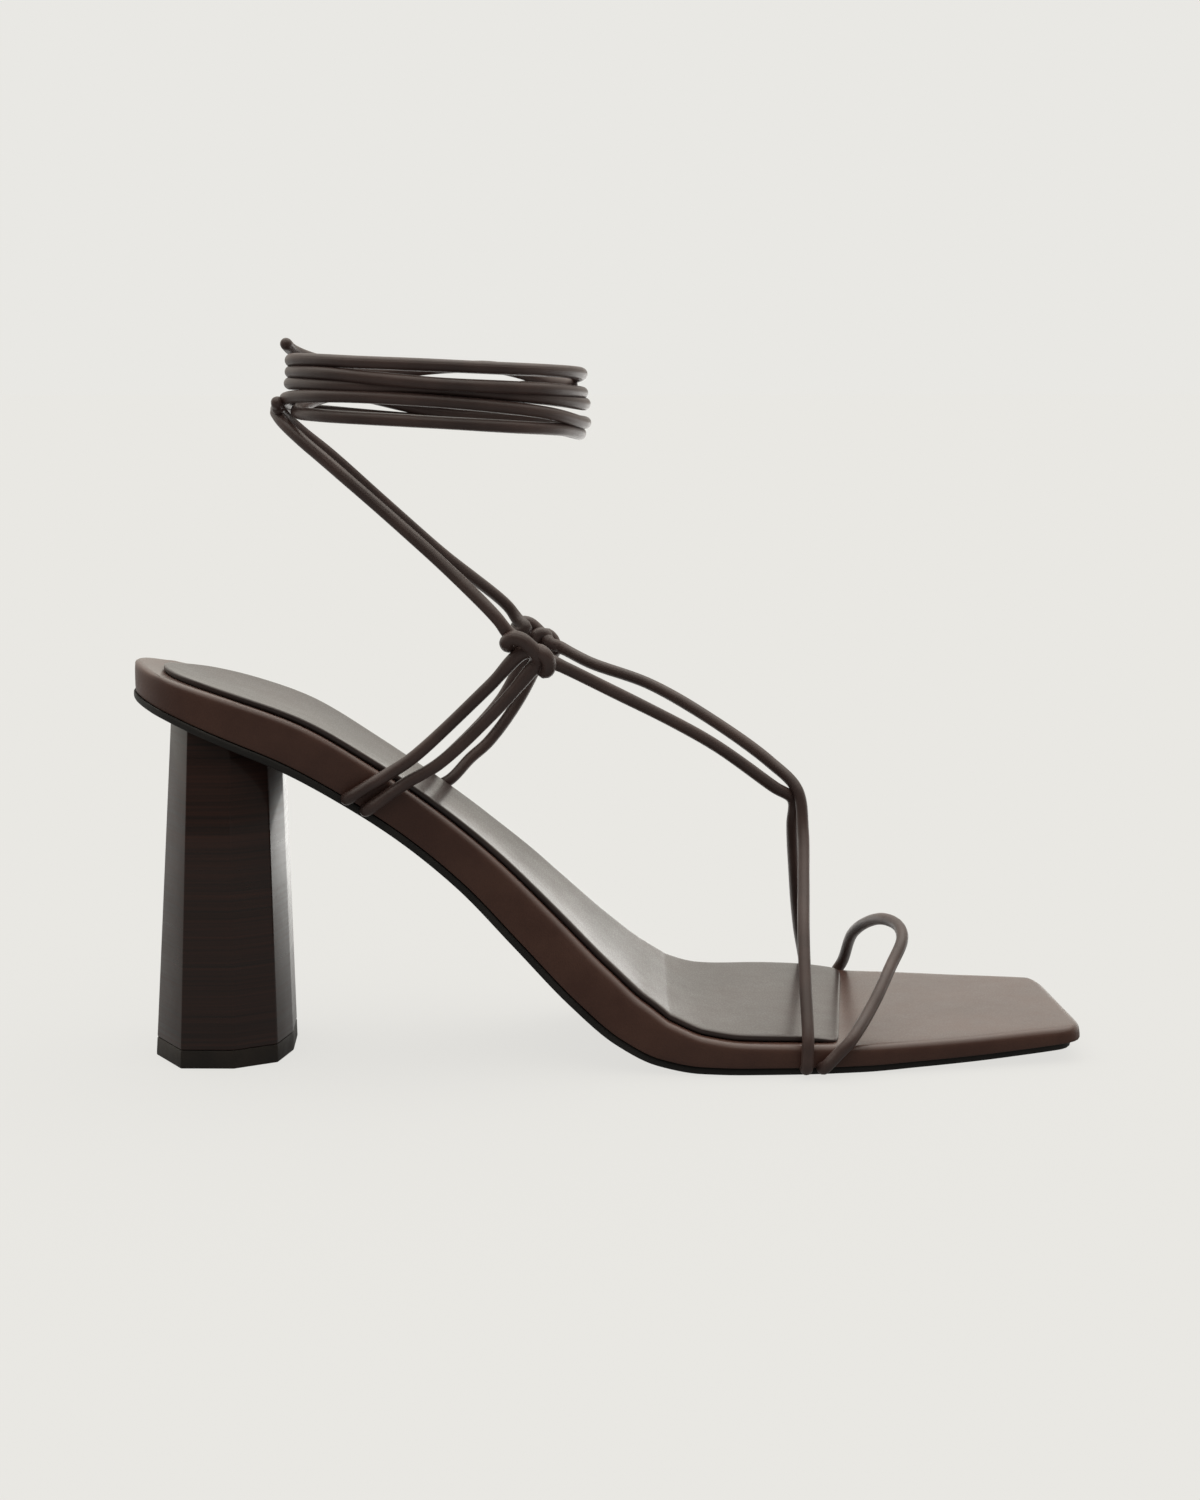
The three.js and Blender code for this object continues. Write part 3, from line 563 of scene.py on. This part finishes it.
# A lace's path through its knot, as shares of the knot's size from its middle: fore, out from
# the foot, and up.
KNOT_PATH = [
    (-0.72, 0, 0.81), (-0.46, -0.05, 0.46), (-0.26, -0.25, 0.24), (-0.42, -0.18, 0.14),
    (-0.49, 0.05, 0.24), (-0.35, 0.23, 0.36), (-0.16, 0.28, 0.33), (0.02, 0.28, 0.19),
    (0.19, 0.22, 0), (0.27, 0, -0.26), (0.38, -0.03, -0.46), (0.49, 0.16, -0.36),
    (0.46, 0.27, -0.13), (0.31, 0.24, 0.03), (0.24, 0.08, 0.02), (0.39, -0.13, -0.18),
    (0.58, -0.05, -0.24),
]
KNOT_OUTER, KNOT_INNER = free_points(KNOT_HEIGHT, [(-0.088, -0.466, 1), (-0.073, 0.534, 0.976)])


def knot(edge, middle):
    """A lace's points in the knot of one side."""
    return [middle + KNOT_SIZE * np.array([fore, edge * out, up]) for fore, out, up in KNOT_PATH]


LACE_OUTER = [
    *free_points(ANKLE_HEIGHT, [
        (-0.349, 0.034, 0.978),
        (-0.339, -0.052, 0.961),
        (-0.32, -0.121, 0.936),
        (-0.289, -0.181, 0.899),
        (-0.176, -0.353, 0.758),
    ]),
    *knot(-1, KNOT_OUTER),
    *free_points(KNOT_HEIGHT, [
        (-0.013, -0.379, 0.916),
        (0.108, -0.103, 0.755),
    ]),
    *free_points(APEX_HEIGHT, [
        (0.181, 0.034, 1.033),
        (0.203, 0.078, 0.974),
        (0.204, 0.12, 0.862),
        (0.213, 0.31, 0.636),
        (0.228, 0.59, 0.345),
    ]),
    *ENDS["vamp_inner"],
]
LACE_INNER = [
    *free_points(ANKLE_HEIGHT, [
        (-0.345, -0.086, 0.994),
        (-0.341, 0, 0.974),
        (-0.324, 0.078, 0.948),
        (-0.293, 0.138, 0.91),
        (-0.178, 0.345, 0.756),
    ]),
    *knot(1, KNOT_INNER),
    *free_points(KNOT_HEIGHT, [
        (-0.013, 0.45, 0.915),
        (0.051, 0.345, 0.867),
        (0.116, 0.224, 0.786),
    ]),
    *free_points(APEX_HEIGHT, [
        (0.179, 0.12, 1.123),
        (0.207, 0.05, 1.016),
        (0.212, 0, 0.856),
        (0.208, -0.155, 0.682),
        (0.202, -0.345, 0.518),
        (0.199, -0.5, 0.351),
    ]),
    *ENDS["vamp_outer"],
]
LOOP_OUTER = [
    *ENDS["loop_outer_back"][::-1],
    *free_points(KNOT_HEIGHT, [
        (-0.205, -0.403, 0.75),
        (-0.128, -0.438, 0.917),
        (-0.092, -0.462, 1),
        (-0.081, -0.466, 0.998),
        (-0.078, -0.469, 0.979),
        (-0.087, -0.469, 0.952),
        (-0.122, -0.448, 0.859),
        (-0.18, -0.41, 0.733),
    ]),
    *ENDS["loop_outer_fore"],
]
LOOP_INNER = [
    *ENDS["loop_inner_back"][::-1],
    *free_points(KNOT_HEIGHT, [
        (-0.173, 0.417, 0.678),
        (-0.113, 0.483, 0.818),
        (-0.069, 0.534, 0.984),
        (-0.061, 0.538, 0.976),
        (-0.065, 0.534, 0.943),
        (-0.091, 0.5, 0.822),
        (-0.126, 0.452, 0.715),
        (-0.147, 0.424, 0.674),
    ]),
    *ENDS["loop_inner_fore"],
]
TOE_STRAP = [
    *ENDS["toe_outer"][::-1],
    *free_points(TOE_STRAP_HEIGHT, [
        (0.271, -0.483, 0.565),
        (0.297, -0.293, 0.81),
        (0.316, -0.138, 0.985),
        (0.318, 0, 1.05),
        (0.307, 0.259, 1),
        (0.291, 0.586, 0.7),
    ]),
    *ENDS["toe_inner"],
]


def ankle_turns(rows):
    """Turns round the ankle: degrees from its front, shares of the stack's height and of the
    cord's diameter outwards."""
    points = []
    for turn, stack, out in rows:
        angle = math.radians(turn)
        grow = out * CORD_DIAMETER
        points.append(SOLE_MIDDLE + np.array([
            ANKLE_FROM_BACK - SOLE_LENGTH / 2 + (ANKLE_LENGTH / 2 + grow) * math.cos(angle),
            ANKLE_FROM_MIDDLE + (ANKLE_WIDTH / 2 + grow) * math.sin(angle),
            ANKLE_HEIGHT + stack * ANKLE_STACK,
        ]))
    return points


TURNS_OF_INNER = ankle_turns([
    (168, -0.11, 0.5), (190, -0.03, 0.45), (225, 0, 0.2), (270, -0.06, 0.1),
    (315, -0.21, 0.3), (345, -0.35, 0.3), (375, -0.35, 0.3), (415, -0.31, 0.1),
    (450, -0.24, 0), (495, 0.07, 0.1), (540, 0.16, 0.1), (585, 0.14, 0),
    (630, 0.08, -0.45), (675, -0.03, 0), (710, -0.11, 0.3), (750, -0.06, 0),
    (810, 0.08, -0.5), (855, 0.21, 0), (900, 0.31, 0), (945, 0.29, 0.1),
    (990, 0.16, 0.3), (1035, 0.09, 0.3), (1070, 0.04, 0.1), (1110, 0.03, 0.2),
    (1170, 0.09, 0.4), (1215, 0.4, 0.2), (1245, 0.59, 0.3), (1258, 0.7, 0.5),
])
TURNS_OF_OUTER = ankle_turns([
    (190, -0.17, 1.1), (175, -0.18, 1.2), (150, -0.2, 0.6), (90, -0.36, 0),
    (45, -0.42, 0), (5, -0.51, -0.1), (-30, -0.44, 0), (-60, -0.39, 0.1),
    (-100, -0.31, 0), (-140, -0.25, 0), (-175, -0.2, -0.4), (-220, 0, -0.6),
    (-270, 0.05, -1), (-315, 0.13, -0.3), (-350, 0.26, 0), (-385, 0.31, 0),
    (-430, 0.36, 0), (-480, 0.43, 0), (-530, 0.47, 0), (-570, 0.36, -0.3),
    (-605, 0.31, -0.5), (-635, 0.38, -0.6), (-655, 0.38, -0.6), (-680, 0.23, -0.5),
    (-710, 0.13, -0.3),
])


def cord_line(points):
    """A smooth line through a cord's points, in even steps: leave and reach are its directions
    at the ends of each part."""
    p = np.array(points)
    p = np.vstack([2 * p[0] - p[1], p, 2 * p[-1] - p[-2]])
    gap = np.maximum(np.linalg.norm(np.diff(p, axis=0), axis=1), 1e-6) ** 0.5
    t = np.linspace(0, 1, CURVE_STEPS, endpoint=False)[:, None]
    pieces = []
    for i in range(1, len(p) - 2):
        a, b, c = gap[i - 1], gap[i], gap[i + 1]
        before, start, end, after = p[i - 1:i + 3]
        leave = b * ((start - before) / a - (end - before) / (a + b) + (end - start) / b)
        reach = b * ((end - start) / b - (after - start) / (b + c) + (after - end) / c)
        pieces.append(start + leave * t + (3 * (end - start) - 2 * leave - reach) * t ** 2
                      + (leave + reach - 2 * (end - start)) * t ** 3)
    line = np.vstack([*pieces, p[-2]])
    run = run_of(line)
    at = np.linspace(0, run[-1], int(run[-1] / CORD_STEP) + 1)
    return np.column_stack([np.interp(at, run, line[:, k]) for k in range(3)])


def cord_radius(spot, run, steps_to_end):
    """A cord's radius: a little uneven, pressed wider in a knot and rounded off at its ends."""
    slack = 1
    for share, length, start in SLACK_WAVES:
        slack += share * math.sin(run / length + start)
    to_knot = min(np.linalg.norm(spot - middle) for middle in (KNOT_OUTER, KNOT_INNER))
    within, past = 0.5 * KNOT_SIZE, 0.9 * KNOT_SIZE
    pressed = np.interp(to_knot, [within, past], [1 + KNOT_PRESS, 1])
    first_step, round_steps = 0.25, 2
    blunt = min(steps_to_end + first_step, round_steps) / round_steps
    rounded = math.sqrt(1 - (1 - blunt) ** 2)
    return CORD_DIAMETER / 2 * slack * pressed * rounded


def make_cords(name, lines):
    """Round cords along their lines as one mesh, with a UV map: round the cord and along it."""
    points, faces, wrap, bends = [], [], [], []
    around = np.arange(CORD_SIDES) / CORD_SIDES * 2 * math.pi
    girth = math.pi * CORD_DIAMETER
    du, dv = 1 / CORD_SIDES, CORD_STEP / girth
    for line in lines:
        ahead = np.gradient(line, axis=0)
        ahead /= np.linalg.norm(ahead, axis=1)[:, None]
        turn = np.gradient(ahead, axis=0)
        bend = np.linalg.norm(turn, axis=1) / CORD_STEP * CORD_DIAMETER
        run = np.arange(len(line)) * CORD_STEP
        side = np.cross(ahead[0], [0, 0, 1])
        first = len(points)
        for i, spot in enumerate(line):
            side = side - ahead[i] * (side @ ahead[i])
            side /= np.linalg.norm(side)
            up = np.cross(ahead[i], side)
            radius = cord_radius(spot, run[i], min(i, len(line) - 1 - i))
            for angle in around:
                points.append(spot + radius * (side * math.cos(angle) + up * math.sin(angle)))
                bends.append(bend[i])
        for i in range(len(line) - 1):
            for k in range(CORD_SIDES):
                n = (k + 1) % CORD_SIDES
                row, after = first + i * CORD_SIDES, first + (i + 1) * CORD_SIDES
                faces.append((row + k, row + n, after + n, after + k))
                u, v = k / CORD_SIDES, run[i] / girth
                wrap.append([(u, v), (u + du, v), (u + du, v + dv), (u, v + dv)])
        for i, flip in ((0, True), (len(line) - 1, False)):
            ring = [first + i * CORD_SIDES + k for k in range(CORD_SIDES)]
            faces.append(tuple(ring[::-1] if flip else ring))
            wrap.append([(0, run[i] / girth)] * CORD_SIDES)
    mesh = bpy.data.meshes.new(name)
    mesh.from_pydata([tuple(p) for p in points], [], faces)
    uv = mesh.uv_layers.new(name="wrap")
    uv.data.foreach_set("uv", np.array([c for face in wrap for c in face], np.float32).ravel())
    mesh.validate()
    cords = bpy.data.objects.new(name, mesh)
    bpy.context.scene.collection.objects.link(cords)
    mark(cords, "bend", bends)
    smooth(cords, 0, angle=60)
    return cords


# Finishes

def new_group(name, inputs, outputs):
    """An empty node group with named inputs and outputs."""
    tree = bpy.data.node_groups.new(name, "ShaderNodeTree")
    for label, kind, value in inputs:
        socket = tree.interface.new_socket(name=label, in_out="INPUT", socket_type=kind)
        if value is not None:
            socket.default_value = value
    for label, kind in outputs:
        tree.interface.new_socket(name=label, in_out="OUTPUT", socket_type=kind)
    given = tree.nodes.new("NodeGroupInput").outputs
    return tree, given, tree.nodes.new("NodeGroupOutput").inputs


def feed(tree, socket, value):
    """Links an input to an output, or sets its value."""
    if isinstance(value, bpy.types.NodeSocket):
        tree.links.new(value, socket)
    else:
        socket.default_value = value


def add(tree, kind, values=(), **settings):
    """A node with its settings, and with values or links given to its named inputs."""
    made = tree.nodes.new(kind)
    for key, value in settings.items():
        setattr(made, key, value)
    for key, value in dict(values).items():
        feed(tree, made.inputs[key], value)
    return made


def calculate(tree, operation, *values, clamp=False):
    """The result of a sum on values or links."""
    made = add(tree, "ShaderNodeMath", operation=operation, use_clamp=clamp)
    for socket, value in zip(made.inputs, values):
        feed(tree, socket, value)
    return made.outputs[0]


def between(tree, amount, low, high):
    """A colour between two, by an amount from 0 to 1. The node keeps its colours at 6 and 7, and
    gives the mixed one at 2."""
    made = add(tree, "ShaderNodeMix", data_type="RGBA")
    for i, value in ((0, amount), (6, low), (7, high)):
        feed(tree, made.inputs[i], value)
    return made.outputs[2]


def leather_grain_group():
    """Pebbles between fine creases: their height, and a mask of the creases."""
    tree, given, result = new_group(
        "leather_grain",
        [("Place", "NodeSocketVector", None), ("Pebbles", "NodeSocketFloat", 1500),
         ("Creases", "NodeSocketFloat", 300)],
        [("Height", "NodeSocketFloat"), ("Crease", "NodeSocketFloat")])
    warp = add(tree, "ShaderNodeTexNoise", {"Vector": given["Place"], "Scale": given["Creases"],
                                            "Detail": 3.0, "Roughness": 0.6})
    cells = add(tree, "ShaderNodeTexVoronoi", {"Vector": given["Place"], "Scale": given["Pebbles"],
                                               "Randomness": 0.9}, feature="DISTANCE_TO_EDGE")
    steepness, pebble_height, fold_height = 3.2, 0.55, 0.75
    edge = calculate(tree, "MULTIPLY", cells.outputs["Distance"], steepness, clamp=True)
    pebble = calculate(tree, "MULTIPLY", edge, pebble_height)
    fold = calculate(tree, "MULTIPLY", warp.outputs["Fac"], fold_height)
    tree.links.new(calculate(tree, "ADD", pebble, fold), result["Height"])
    tree.links.new(calculate(tree, "SUBTRACT", 1.0, edge), result["Crease"])
    return tree


def dye_group():
    """Dye that took unevenly: a colour between a deep and a worn one."""
    tree, given, result = new_group(
        "uneven_dye",
        [("Place", "NodeSocketVector", None), ("Patches", "NodeSocketFloat", 60),
         ("Deep", "NodeSocketColor", (0, 0, 0, 1)), ("Worn", "NodeSocketColor", (1, 1, 1, 1))],
        [("Color", "NodeSocketColor")])
    wide = add(tree, "ShaderNodeTexNoise", {"Vector": given["Place"], "Scale": given["Patches"],
                                            "Detail": 4.0, "Roughness": 0.55})
    soft = add(tree, "ShaderNodeMapRange", {"Value": wide.outputs["Fac"], "From Min": 0.3,
                                            "From Max": 0.72}, interpolation_type="SMOOTHSTEP")
    colour = between(tree, soft.outputs["Result"], given["Deep"], given["Worn"])
    tree.links.new(colour, result["Color"])
    return tree


def gloss_group():
    """Roughness that changes a little from place to place, and in the creases."""
    tree, given, result = new_group(
        "handled_gloss",
        [("Place", "NodeSocketVector", None), ("Smears", "NodeSocketFloat", 90),
         ("Glossy", "NodeSocketFloat", 0.3), ("Matt", "NodeSocketFloat", 0.45),
         ("Crease", "NodeSocketFloat", 0)],
        [("Roughness", "NodeSocketFloat")])
    smear = add(tree, "ShaderNodeTexNoise", {"Vector": given["Place"], "Scale": given["Smears"],
                                             "Detail": 5.0, "Roughness": 0.65})
    mixed = add(tree, "ShaderNodeMapRange", {"Value": smear.outputs["Fac"], "From Min": 0.3,
                                             "From Max": 0.7, "To Min": given["Glossy"],
                                             "To Max": given["Matt"]})
    duller_by = 0.12
    creased = calculate(tree, "MULTIPLY", given["Crease"], duller_by)
    tree.links.new(calculate(tree, "ADD", mixed.outputs["Result"], creased, clamp=True),
                   result["Roughness"])
    return tree


GRAIN, DYE, GLOSS = leather_grain_group(), dye_group(), gloss_group()


def use(tree, group, values):
    """The outputs of a node group that is fed with values."""
    return add(tree, "ShaderNodeGroup", values, node_tree=group).outputs


def srgb(r, g, b):
    """A colour as a picture editor names it, 0 to 255, made linear."""
    return (*(((v / 255 + 0.055) / 1.055) ** 2.4 for v in (r, g, b)), 1)


def new_finish(name, specular, coat=0.0, coat_roughness=0.3):
    """A material with its shader, its tree and object coordinates."""
    made = bpy.data.materials.new(name)
    made.use_nodes = True
    tree = made.node_tree
    shader = tree.nodes["Principled BSDF"]
    shader.inputs["Specular IOR Level"].default_value = specular
    shader.inputs["Coat Weight"].default_value = coat
    shader.inputs["Coat Roughness"].default_value = coat_roughness
    here = tree.nodes.new("ShaderNodeTexCoord").outputs["Object"]
    return made, tree, shader, here


def raise_surface(tree, shader, height, strength, distance):
    """Gives a shader fine relief."""
    bump = add(tree, "ShaderNodeBump",
               {"Height": height, "Strength": strength, "Distance": distance})
    tree.links.new(bump.outputs["Normal"], shader.inputs["Normal"])


def smooth_leather(name, deep, worn, pebbles, glossy, matt, coats, part):
    """Satin calf leather: coats are its coat away from and on the part that an attribute marks.
    Where the part is the sock's edge, the marked side wall is also painted near-black as painted
    shade.
    """
    made, tree, shader, here = new_finish(name, specular=0.3, coat_roughness=0.24)
    grain = use(tree, GRAIN, {"Place": here, "Pebbles": pebbles, "Creases": pebbles / 6})
    marked = add(tree, "ShaderNodeAttribute", attribute_name=part).outputs["Fac"]
    dye = use(tree, DYE, {"Place": here, "Patches": 55.0, "Deep": deep, "Worn": worn})
    gloss = use(tree, GLOSS, {"Place": here, "Smears": 110.0, "Glossy": glossy, "Matt": matt,
                              "Crease": grain["Crease"]})
    coat = add(tree, "ShaderNodeMapRange",
               {"Value": marked, "To Min": coats[0], "To Max": coats[1]})
    tree.links.new(coat.outputs["Result"], shader.inputs["Coat Weight"])
    colour = dye["Color"]
    # Painted shade: the sock's side wall, marked by the edge attribute, is coloured near-black
    # where it lies in shadow.
    if part == "edge":
        painted_wall_shade = srgb(20, 16, 15)
        colour = between(tree, marked, colour, painted_wall_shade)
    tree.links.new(colour, shader.inputs["Base Color"])
    tree.links.new(gloss["Roughness"], shader.inputs["Roughness"])
    raise_surface(tree, shader, grain["Height"], strength=0.3, distance=0.08 * MM)
    return made


def stacked_heel_finish():
    """Thin layers of leather, ground and waxed: fine level lines of changing tone."""
    made, tree, shader, here = new_finish(
        "stacked_leather", specular=0.25, coat=0.36, coat_roughness=0.1)
    fine_lines, thick_layers = (10.0, 10.0, 1300.0), (4.0, 4.0, 330.0)
    flat = add(tree, "ShaderNodeMapping", {"Vector": here, "Scale": fine_lines})
    lines = add(tree, "ShaderNodeTexNoise", {"Vector": flat.outputs["Vector"], "Scale": 1.0,
                                             "Detail": 6.0, "Roughness": 0.7})
    bands = add(tree, "ShaderNodeMapping", {"Vector": here, "Scale": thick_layers})
    layers = add(tree, "ShaderNodeTexNoise", {"Vector": bands.outputs["Vector"], "Scale": 1.0,
                                              "Detail": 2.0, "Roughness": 0.5})
    tone = add(tree, "ShaderNodeMapRange", {"Value": lines.outputs["Fac"], "From Min": 0.35,
                                            "From Max": 0.7})
    layer = add(tree, "ShaderNodeMapRange", {"Value": layers.outputs["Fac"], "From Min": 0.35,
                                             "From Max": 0.65})
    base = between(tree, layer.outputs["Result"], srgb(24, 17, 15), srgb(37, 25, 22))
    line_share, line_colour = 0.5, srgb(76, 42, 32)
    share = calculate(tree, "MULTIPLY", tone.outputs["Result"], line_share)
    colour = between(tree, share, base, line_colour)
    tree.links.new(colour, shader.inputs["Base Color"])
    gloss = use(tree, GLOSS, {"Place": here, "Smears": 80.0, "Glossy": 0.22, "Matt": 0.36,
                              "Crease": tone.outputs["Result"]})
    tree.links.new(gloss["Roughness"], shader.inputs["Roughness"])
    raise_surface(tree, shader, lines.outputs["Fac"], strength=0.25, distance=0.05 * MM)
    return made


def rubber_finish(name, deep, worn, glossy, matt):
    """Rubber with a fine moulded skin."""
    made, tree, shader, here = new_finish(name, specular=0.35)
    dye = use(tree, DYE, {"Place": here, "Patches": 90.0, "Deep": deep, "Worn": worn})
    gloss = use(tree, GLOSS, {"Place": here, "Smears": 240.0, "Glossy": glossy, "Matt": matt,
                              "Crease": 0.0})
    skin = add(tree, "ShaderNodeTexNoise", {"Vector": here, "Scale": 2600.0, "Detail": 2.0})
    tree.links.new(dye["Color"], shader.inputs["Base Color"])
    tree.links.new(gloss["Roughness"], shader.inputs["Roughness"])
    raise_surface(tree, shader, skin.outputs["Fac"], strength=0.3, distance=0.04 * MM)
    return made


def cord_finish():
    """Rolled leather: a fine grain, a glued seam along the cord and creases where it bends."""
    made, tree, shader, here = new_finish(
        "rolled_leather_cord", specular=0.4, coat=0.1, coat_roughness=0.3)
    wrap = add(tree, "ShaderNodeUVMap", uv_map="wrap").outputs["UV"]
    parts = add(tree, "ShaderNodeSeparateXYZ", {"Vector": wrap})
    bend = add(tree, "ShaderNodeAttribute", attribute_name="bend").outputs["Fac"]
    grain = use(tree, GRAIN, {"Place": here, "Pebbles": 2600.0, "Creases": 500.0})
    dye = use(tree, DYE, {"Place": here, "Patches": 70.0, "Deep": srgb(62, 47, 44),
                          "Worn": srgb(80, 62, 58)})
    rings = add(tree, "ShaderNodeMapping", {"Vector": wrap, "Scale": (1.5, 14.0, 1.0)})
    ring = add(tree, "ShaderNodeTexNoise", {"Vector": rings.outputs["Vector"], "Scale": 1.0,
                                            "Detail": 2.0})
    folds_by_bend, fold_height = 2.0, 2.5
    bent = calculate(tree, "MULTIPLY", bend, folds_by_bend, clamp=True)
    folds = calculate(tree, "MULTIPLY", ring.outputs["Fac"], bent)
    folds = calculate(tree, "MULTIPLY", folds, fold_height)
    seam_at, half_seam = 0.5, 0.025
    off = calculate(tree, "ABSOLUTE", calculate(tree, "SUBTRACT", parts.outputs["X"], seam_at))
    seam = add(tree, "ShaderNodeMapRange", {"Value": off, "From Min": 0.0, "From Max": half_seam,
                                            "To Min": -1.0, "To Max": 0.0})
    height = calculate(tree, "ADD", grain["Height"], folds)
    height = calculate(tree, "ADD", height, seam.outputs["Result"])
    gloss = use(tree, GLOSS, {"Place": here, "Smears": 160.0, "Glossy": 0.3, "Matt": 0.42,
                              "Crease": grain["Crease"]})
    tree.links.new(dye["Color"], shader.inputs["Base Color"])
    tree.links.new(gloss["Roughness"], shader.inputs["Roughness"])
    raise_surface(tree, shader, height, strength=0.35, distance=0.07 * MM)
    return made


# The sandal, piece by piece

outsole = make_outsole()
midsole = make_midsole()
sock = make_sock()
heel_tops = [under_the_sole(corner) + HEEL_INTO_OUTSOLE for corner in range(HEEL_SIDES)]
heel_block = make_heel_part("heel_block_stack", [TIP_THICKNESS + LAYER_GAP] * HEEL_SIDES,
                            heel_tops, HEEL_EDGE_RADIUS)
heel_tip = make_heel_part("heel_top_piece", [0] * HEEL_SIDES, [TIP_THICKNESS] * HEEL_SIDES,
                          TIP_EDGE_RADIUS)
upper = make_cords("cord_upper", [cord_line(points) for points in (
    LACE_OUTER, LACE_INNER, LOOP_OUTER, LOOP_INNER, TURNS_OF_INNER, TURNS_OF_OUTER)])
toe_loop = make_cords("toe_cord", [cord_line(TOE_STRAP)])

cover_leather = smooth_leather(
    "cover_leather", deep=srgb(71, 46, 39), worn=srgb(84, 57, 48), pebbles=1700.0,
    glossy=0.34, matt=0.46, coats=(0.05, 0.7), part="top")
sock_leather = smooth_leather(
    "sock_leather", deep=srgb(46, 34, 32), worn=srgb(60, 46, 43), pebbles=1500.0,
    glossy=0.3, matt=0.42, coats=(0.6, 0.0), part="edge")
heel_stack = stacked_heel_finish()
sole_rubber = rubber_finish(
    "sole_rubber", deep=srgb(26, 24, 23), worn=srgb(38, 35, 33), glossy=0.5, matt=0.65)
tip_rubber = rubber_finish(
    "tip_rubber", deep=srgb(30, 25, 22), worn=srgb(44, 37, 32), glossy=0.42, matt=0.6)
cord_leather = cord_finish()

dressed(outsole, sole_rubber, "outsole", "outsole")
dressed(midsole, cover_leather, "midsole_cover", "midsole")
dressed(sock, sock_leather, "sock", "sock_pad")
dressed(heel_block, heel_stack, "heel_stack", "heel_block")
dressed(heel_tip, tip_rubber, "heel_tip", "heel_tip")
dressed(upper, cord_leather, "cord", "strap_upper")
dressed(toe_loop, cord_leather, "cord", "toe_strap")


# Studio

BACKDROP = (0.815, 0.807, 0.776, 1)
WARM_LIGHT = (1, 0.97, 0.88, 1)
FRONT_GLOW, BACK_GLOW, TOP_GLOW = 0.12, 0.85, 1.4
FLOOR_SIZE = 60
FLOOR_PAINT = (0.08, 0.08, 0.078, 1)
FLOOR_GLOW = (0.708, 0.7, 0.676, 1)
SUN_STRENGTH = 0.25
SUN_SPREAD = 50
SUN_TILT = (-20, 10, 0)
LENS, SENSOR_WIDTH = 60, 36
CAMERA_PLACE = (-0.0334, -0.6099, 0.1625)
CAMERA_TURN = (81.6, 0, -3)


def fade(tree, value, start, end, low, high):
    """A soft change from low to high as a value goes from start to end."""
    return add(tree, "ShaderNodeMapRange", {"Value": value, "From Min": start, "From Max": end,
                                            "To Min": low, "To Max": high},
               interpolation_type="SMOOTHSTEP").outputs["Result"]


def to_camera(tree):
    """1 for what the camera sees itself, 0 for what lights the sandal or is mirrored in it."""
    return tree.nodes.new("ShaderNodeLightPath").outputs["Is Camera Ray"]


def make_floor():
    """A pale floor. What it casts on the sandal is brighter behind it and towards its toe."""
    bpy.ops.object.select_all(action="DESELECT")
    bpy.ops.mesh.primitive_plane_add(size=FLOOR_SIZE)
    floor = bpy.context.object
    floor.name = "floor"
    pale, tree, shader, here = new_finish("pale_floor", specular=0.0)
    shader.inputs["Base Color"].default_value = FLOOR_PAINT
    shader.inputs["Emission Color"].default_value = FLOOR_GLOW
    way = add(tree, "ShaderNodeSeparateXYZ", {"Vector": here}).outputs
    cast = calculate(tree, "MULTIPLY",
                     fade(tree, way["Y"], start=-0.05, end=0.3, low=0.0, high=1.0),
                     fade(tree, way["X"], start=-0.25, end=0.1, low=0.4, high=3.2))
    least = 0.3
    cast = calculate(tree, "ADD", cast, least)
    glow = add(tree, "ShaderNodeMapRange",
               {"Value": to_camera(tree), "To Min": cast, "To Max": 1.0}).outputs["Result"]
    tree.links.new(glow, shader.inputs["Emission Strength"])
    shader.inputs["Roughness"].default_value = 1.0
    floor.data.materials.append(pale)
    return floor


def make_world():
    """Warm light from behind and above, dark towards the camera, before a plain backdrop."""
    world = bpy.data.worlds.new("studio")
    bpy.context.scene.world = world
    world.use_nodes = True
    tree = world.node_tree
    background = tree.nodes["Background"]
    way = add(tree, "ShaderNodeSeparateXYZ", {
        "Vector": tree.nodes.new("ShaderNodeTexCoord").outputs["Generated"]}).outputs
    level = fade(tree, way["Y"], start=-0.6, end=0.4, low=FRONT_GLOW, high=BACK_GLOW)
    above = fade(tree, way["Z"], start=0.45, end=0.9, low=0.0, high=TOP_GLOW)
    tree.links.new(calculate(tree, "ADD", level, above), background.inputs["Strength"])
    background.inputs["Color"].default_value = WARM_LIGHT
    seen = add(tree, "ShaderNodeBackground", {"Color": BACKDROP})
    mixed = tree.nodes.new("ShaderNodeMixShader")
    sources = (to_camera(tree), background.outputs[0], seen.outputs[0])
    for socket, source in zip(mixed.inputs, sources):
        tree.links.new(source, socket)
    tree.links.new(mixed.outputs[0], tree.nodes["World Output"].inputs["Surface"])


def hang(name, data):
    """A new object of the scene with its data."""
    made = bpy.data.objects.new(name, data)
    bpy.context.scene.collection.objects.link(made)
    return made


def make_sun():
    """A wide soft light from overhead."""
    data = bpy.data.lights.new("overhead", "SUN")
    data.energy = SUN_STRENGTH
    data.angle = math.radians(SUN_SPREAD)
    hang("overhead", data).rotation_euler = [math.radians(turn) for turn in SUN_TILT]


def make_camera():
    """The camera from the sandal's outer side, a little above it."""
    data = bpy.data.cameras.new("camera")
    data.lens = LENS
    data.sensor_width = SENSOR_WIDTH
    camera = hang("camera", data)
    camera.location = CAMERA_PLACE
    camera.rotation_euler = [math.radians(turn) for turn in CAMERA_TURN]
    bpy.context.scene.camera = camera


floor = make_floor()
make_world()
make_sun()
bpy.context.scene.view_settings.view_transform = "Standard"
make_camera()
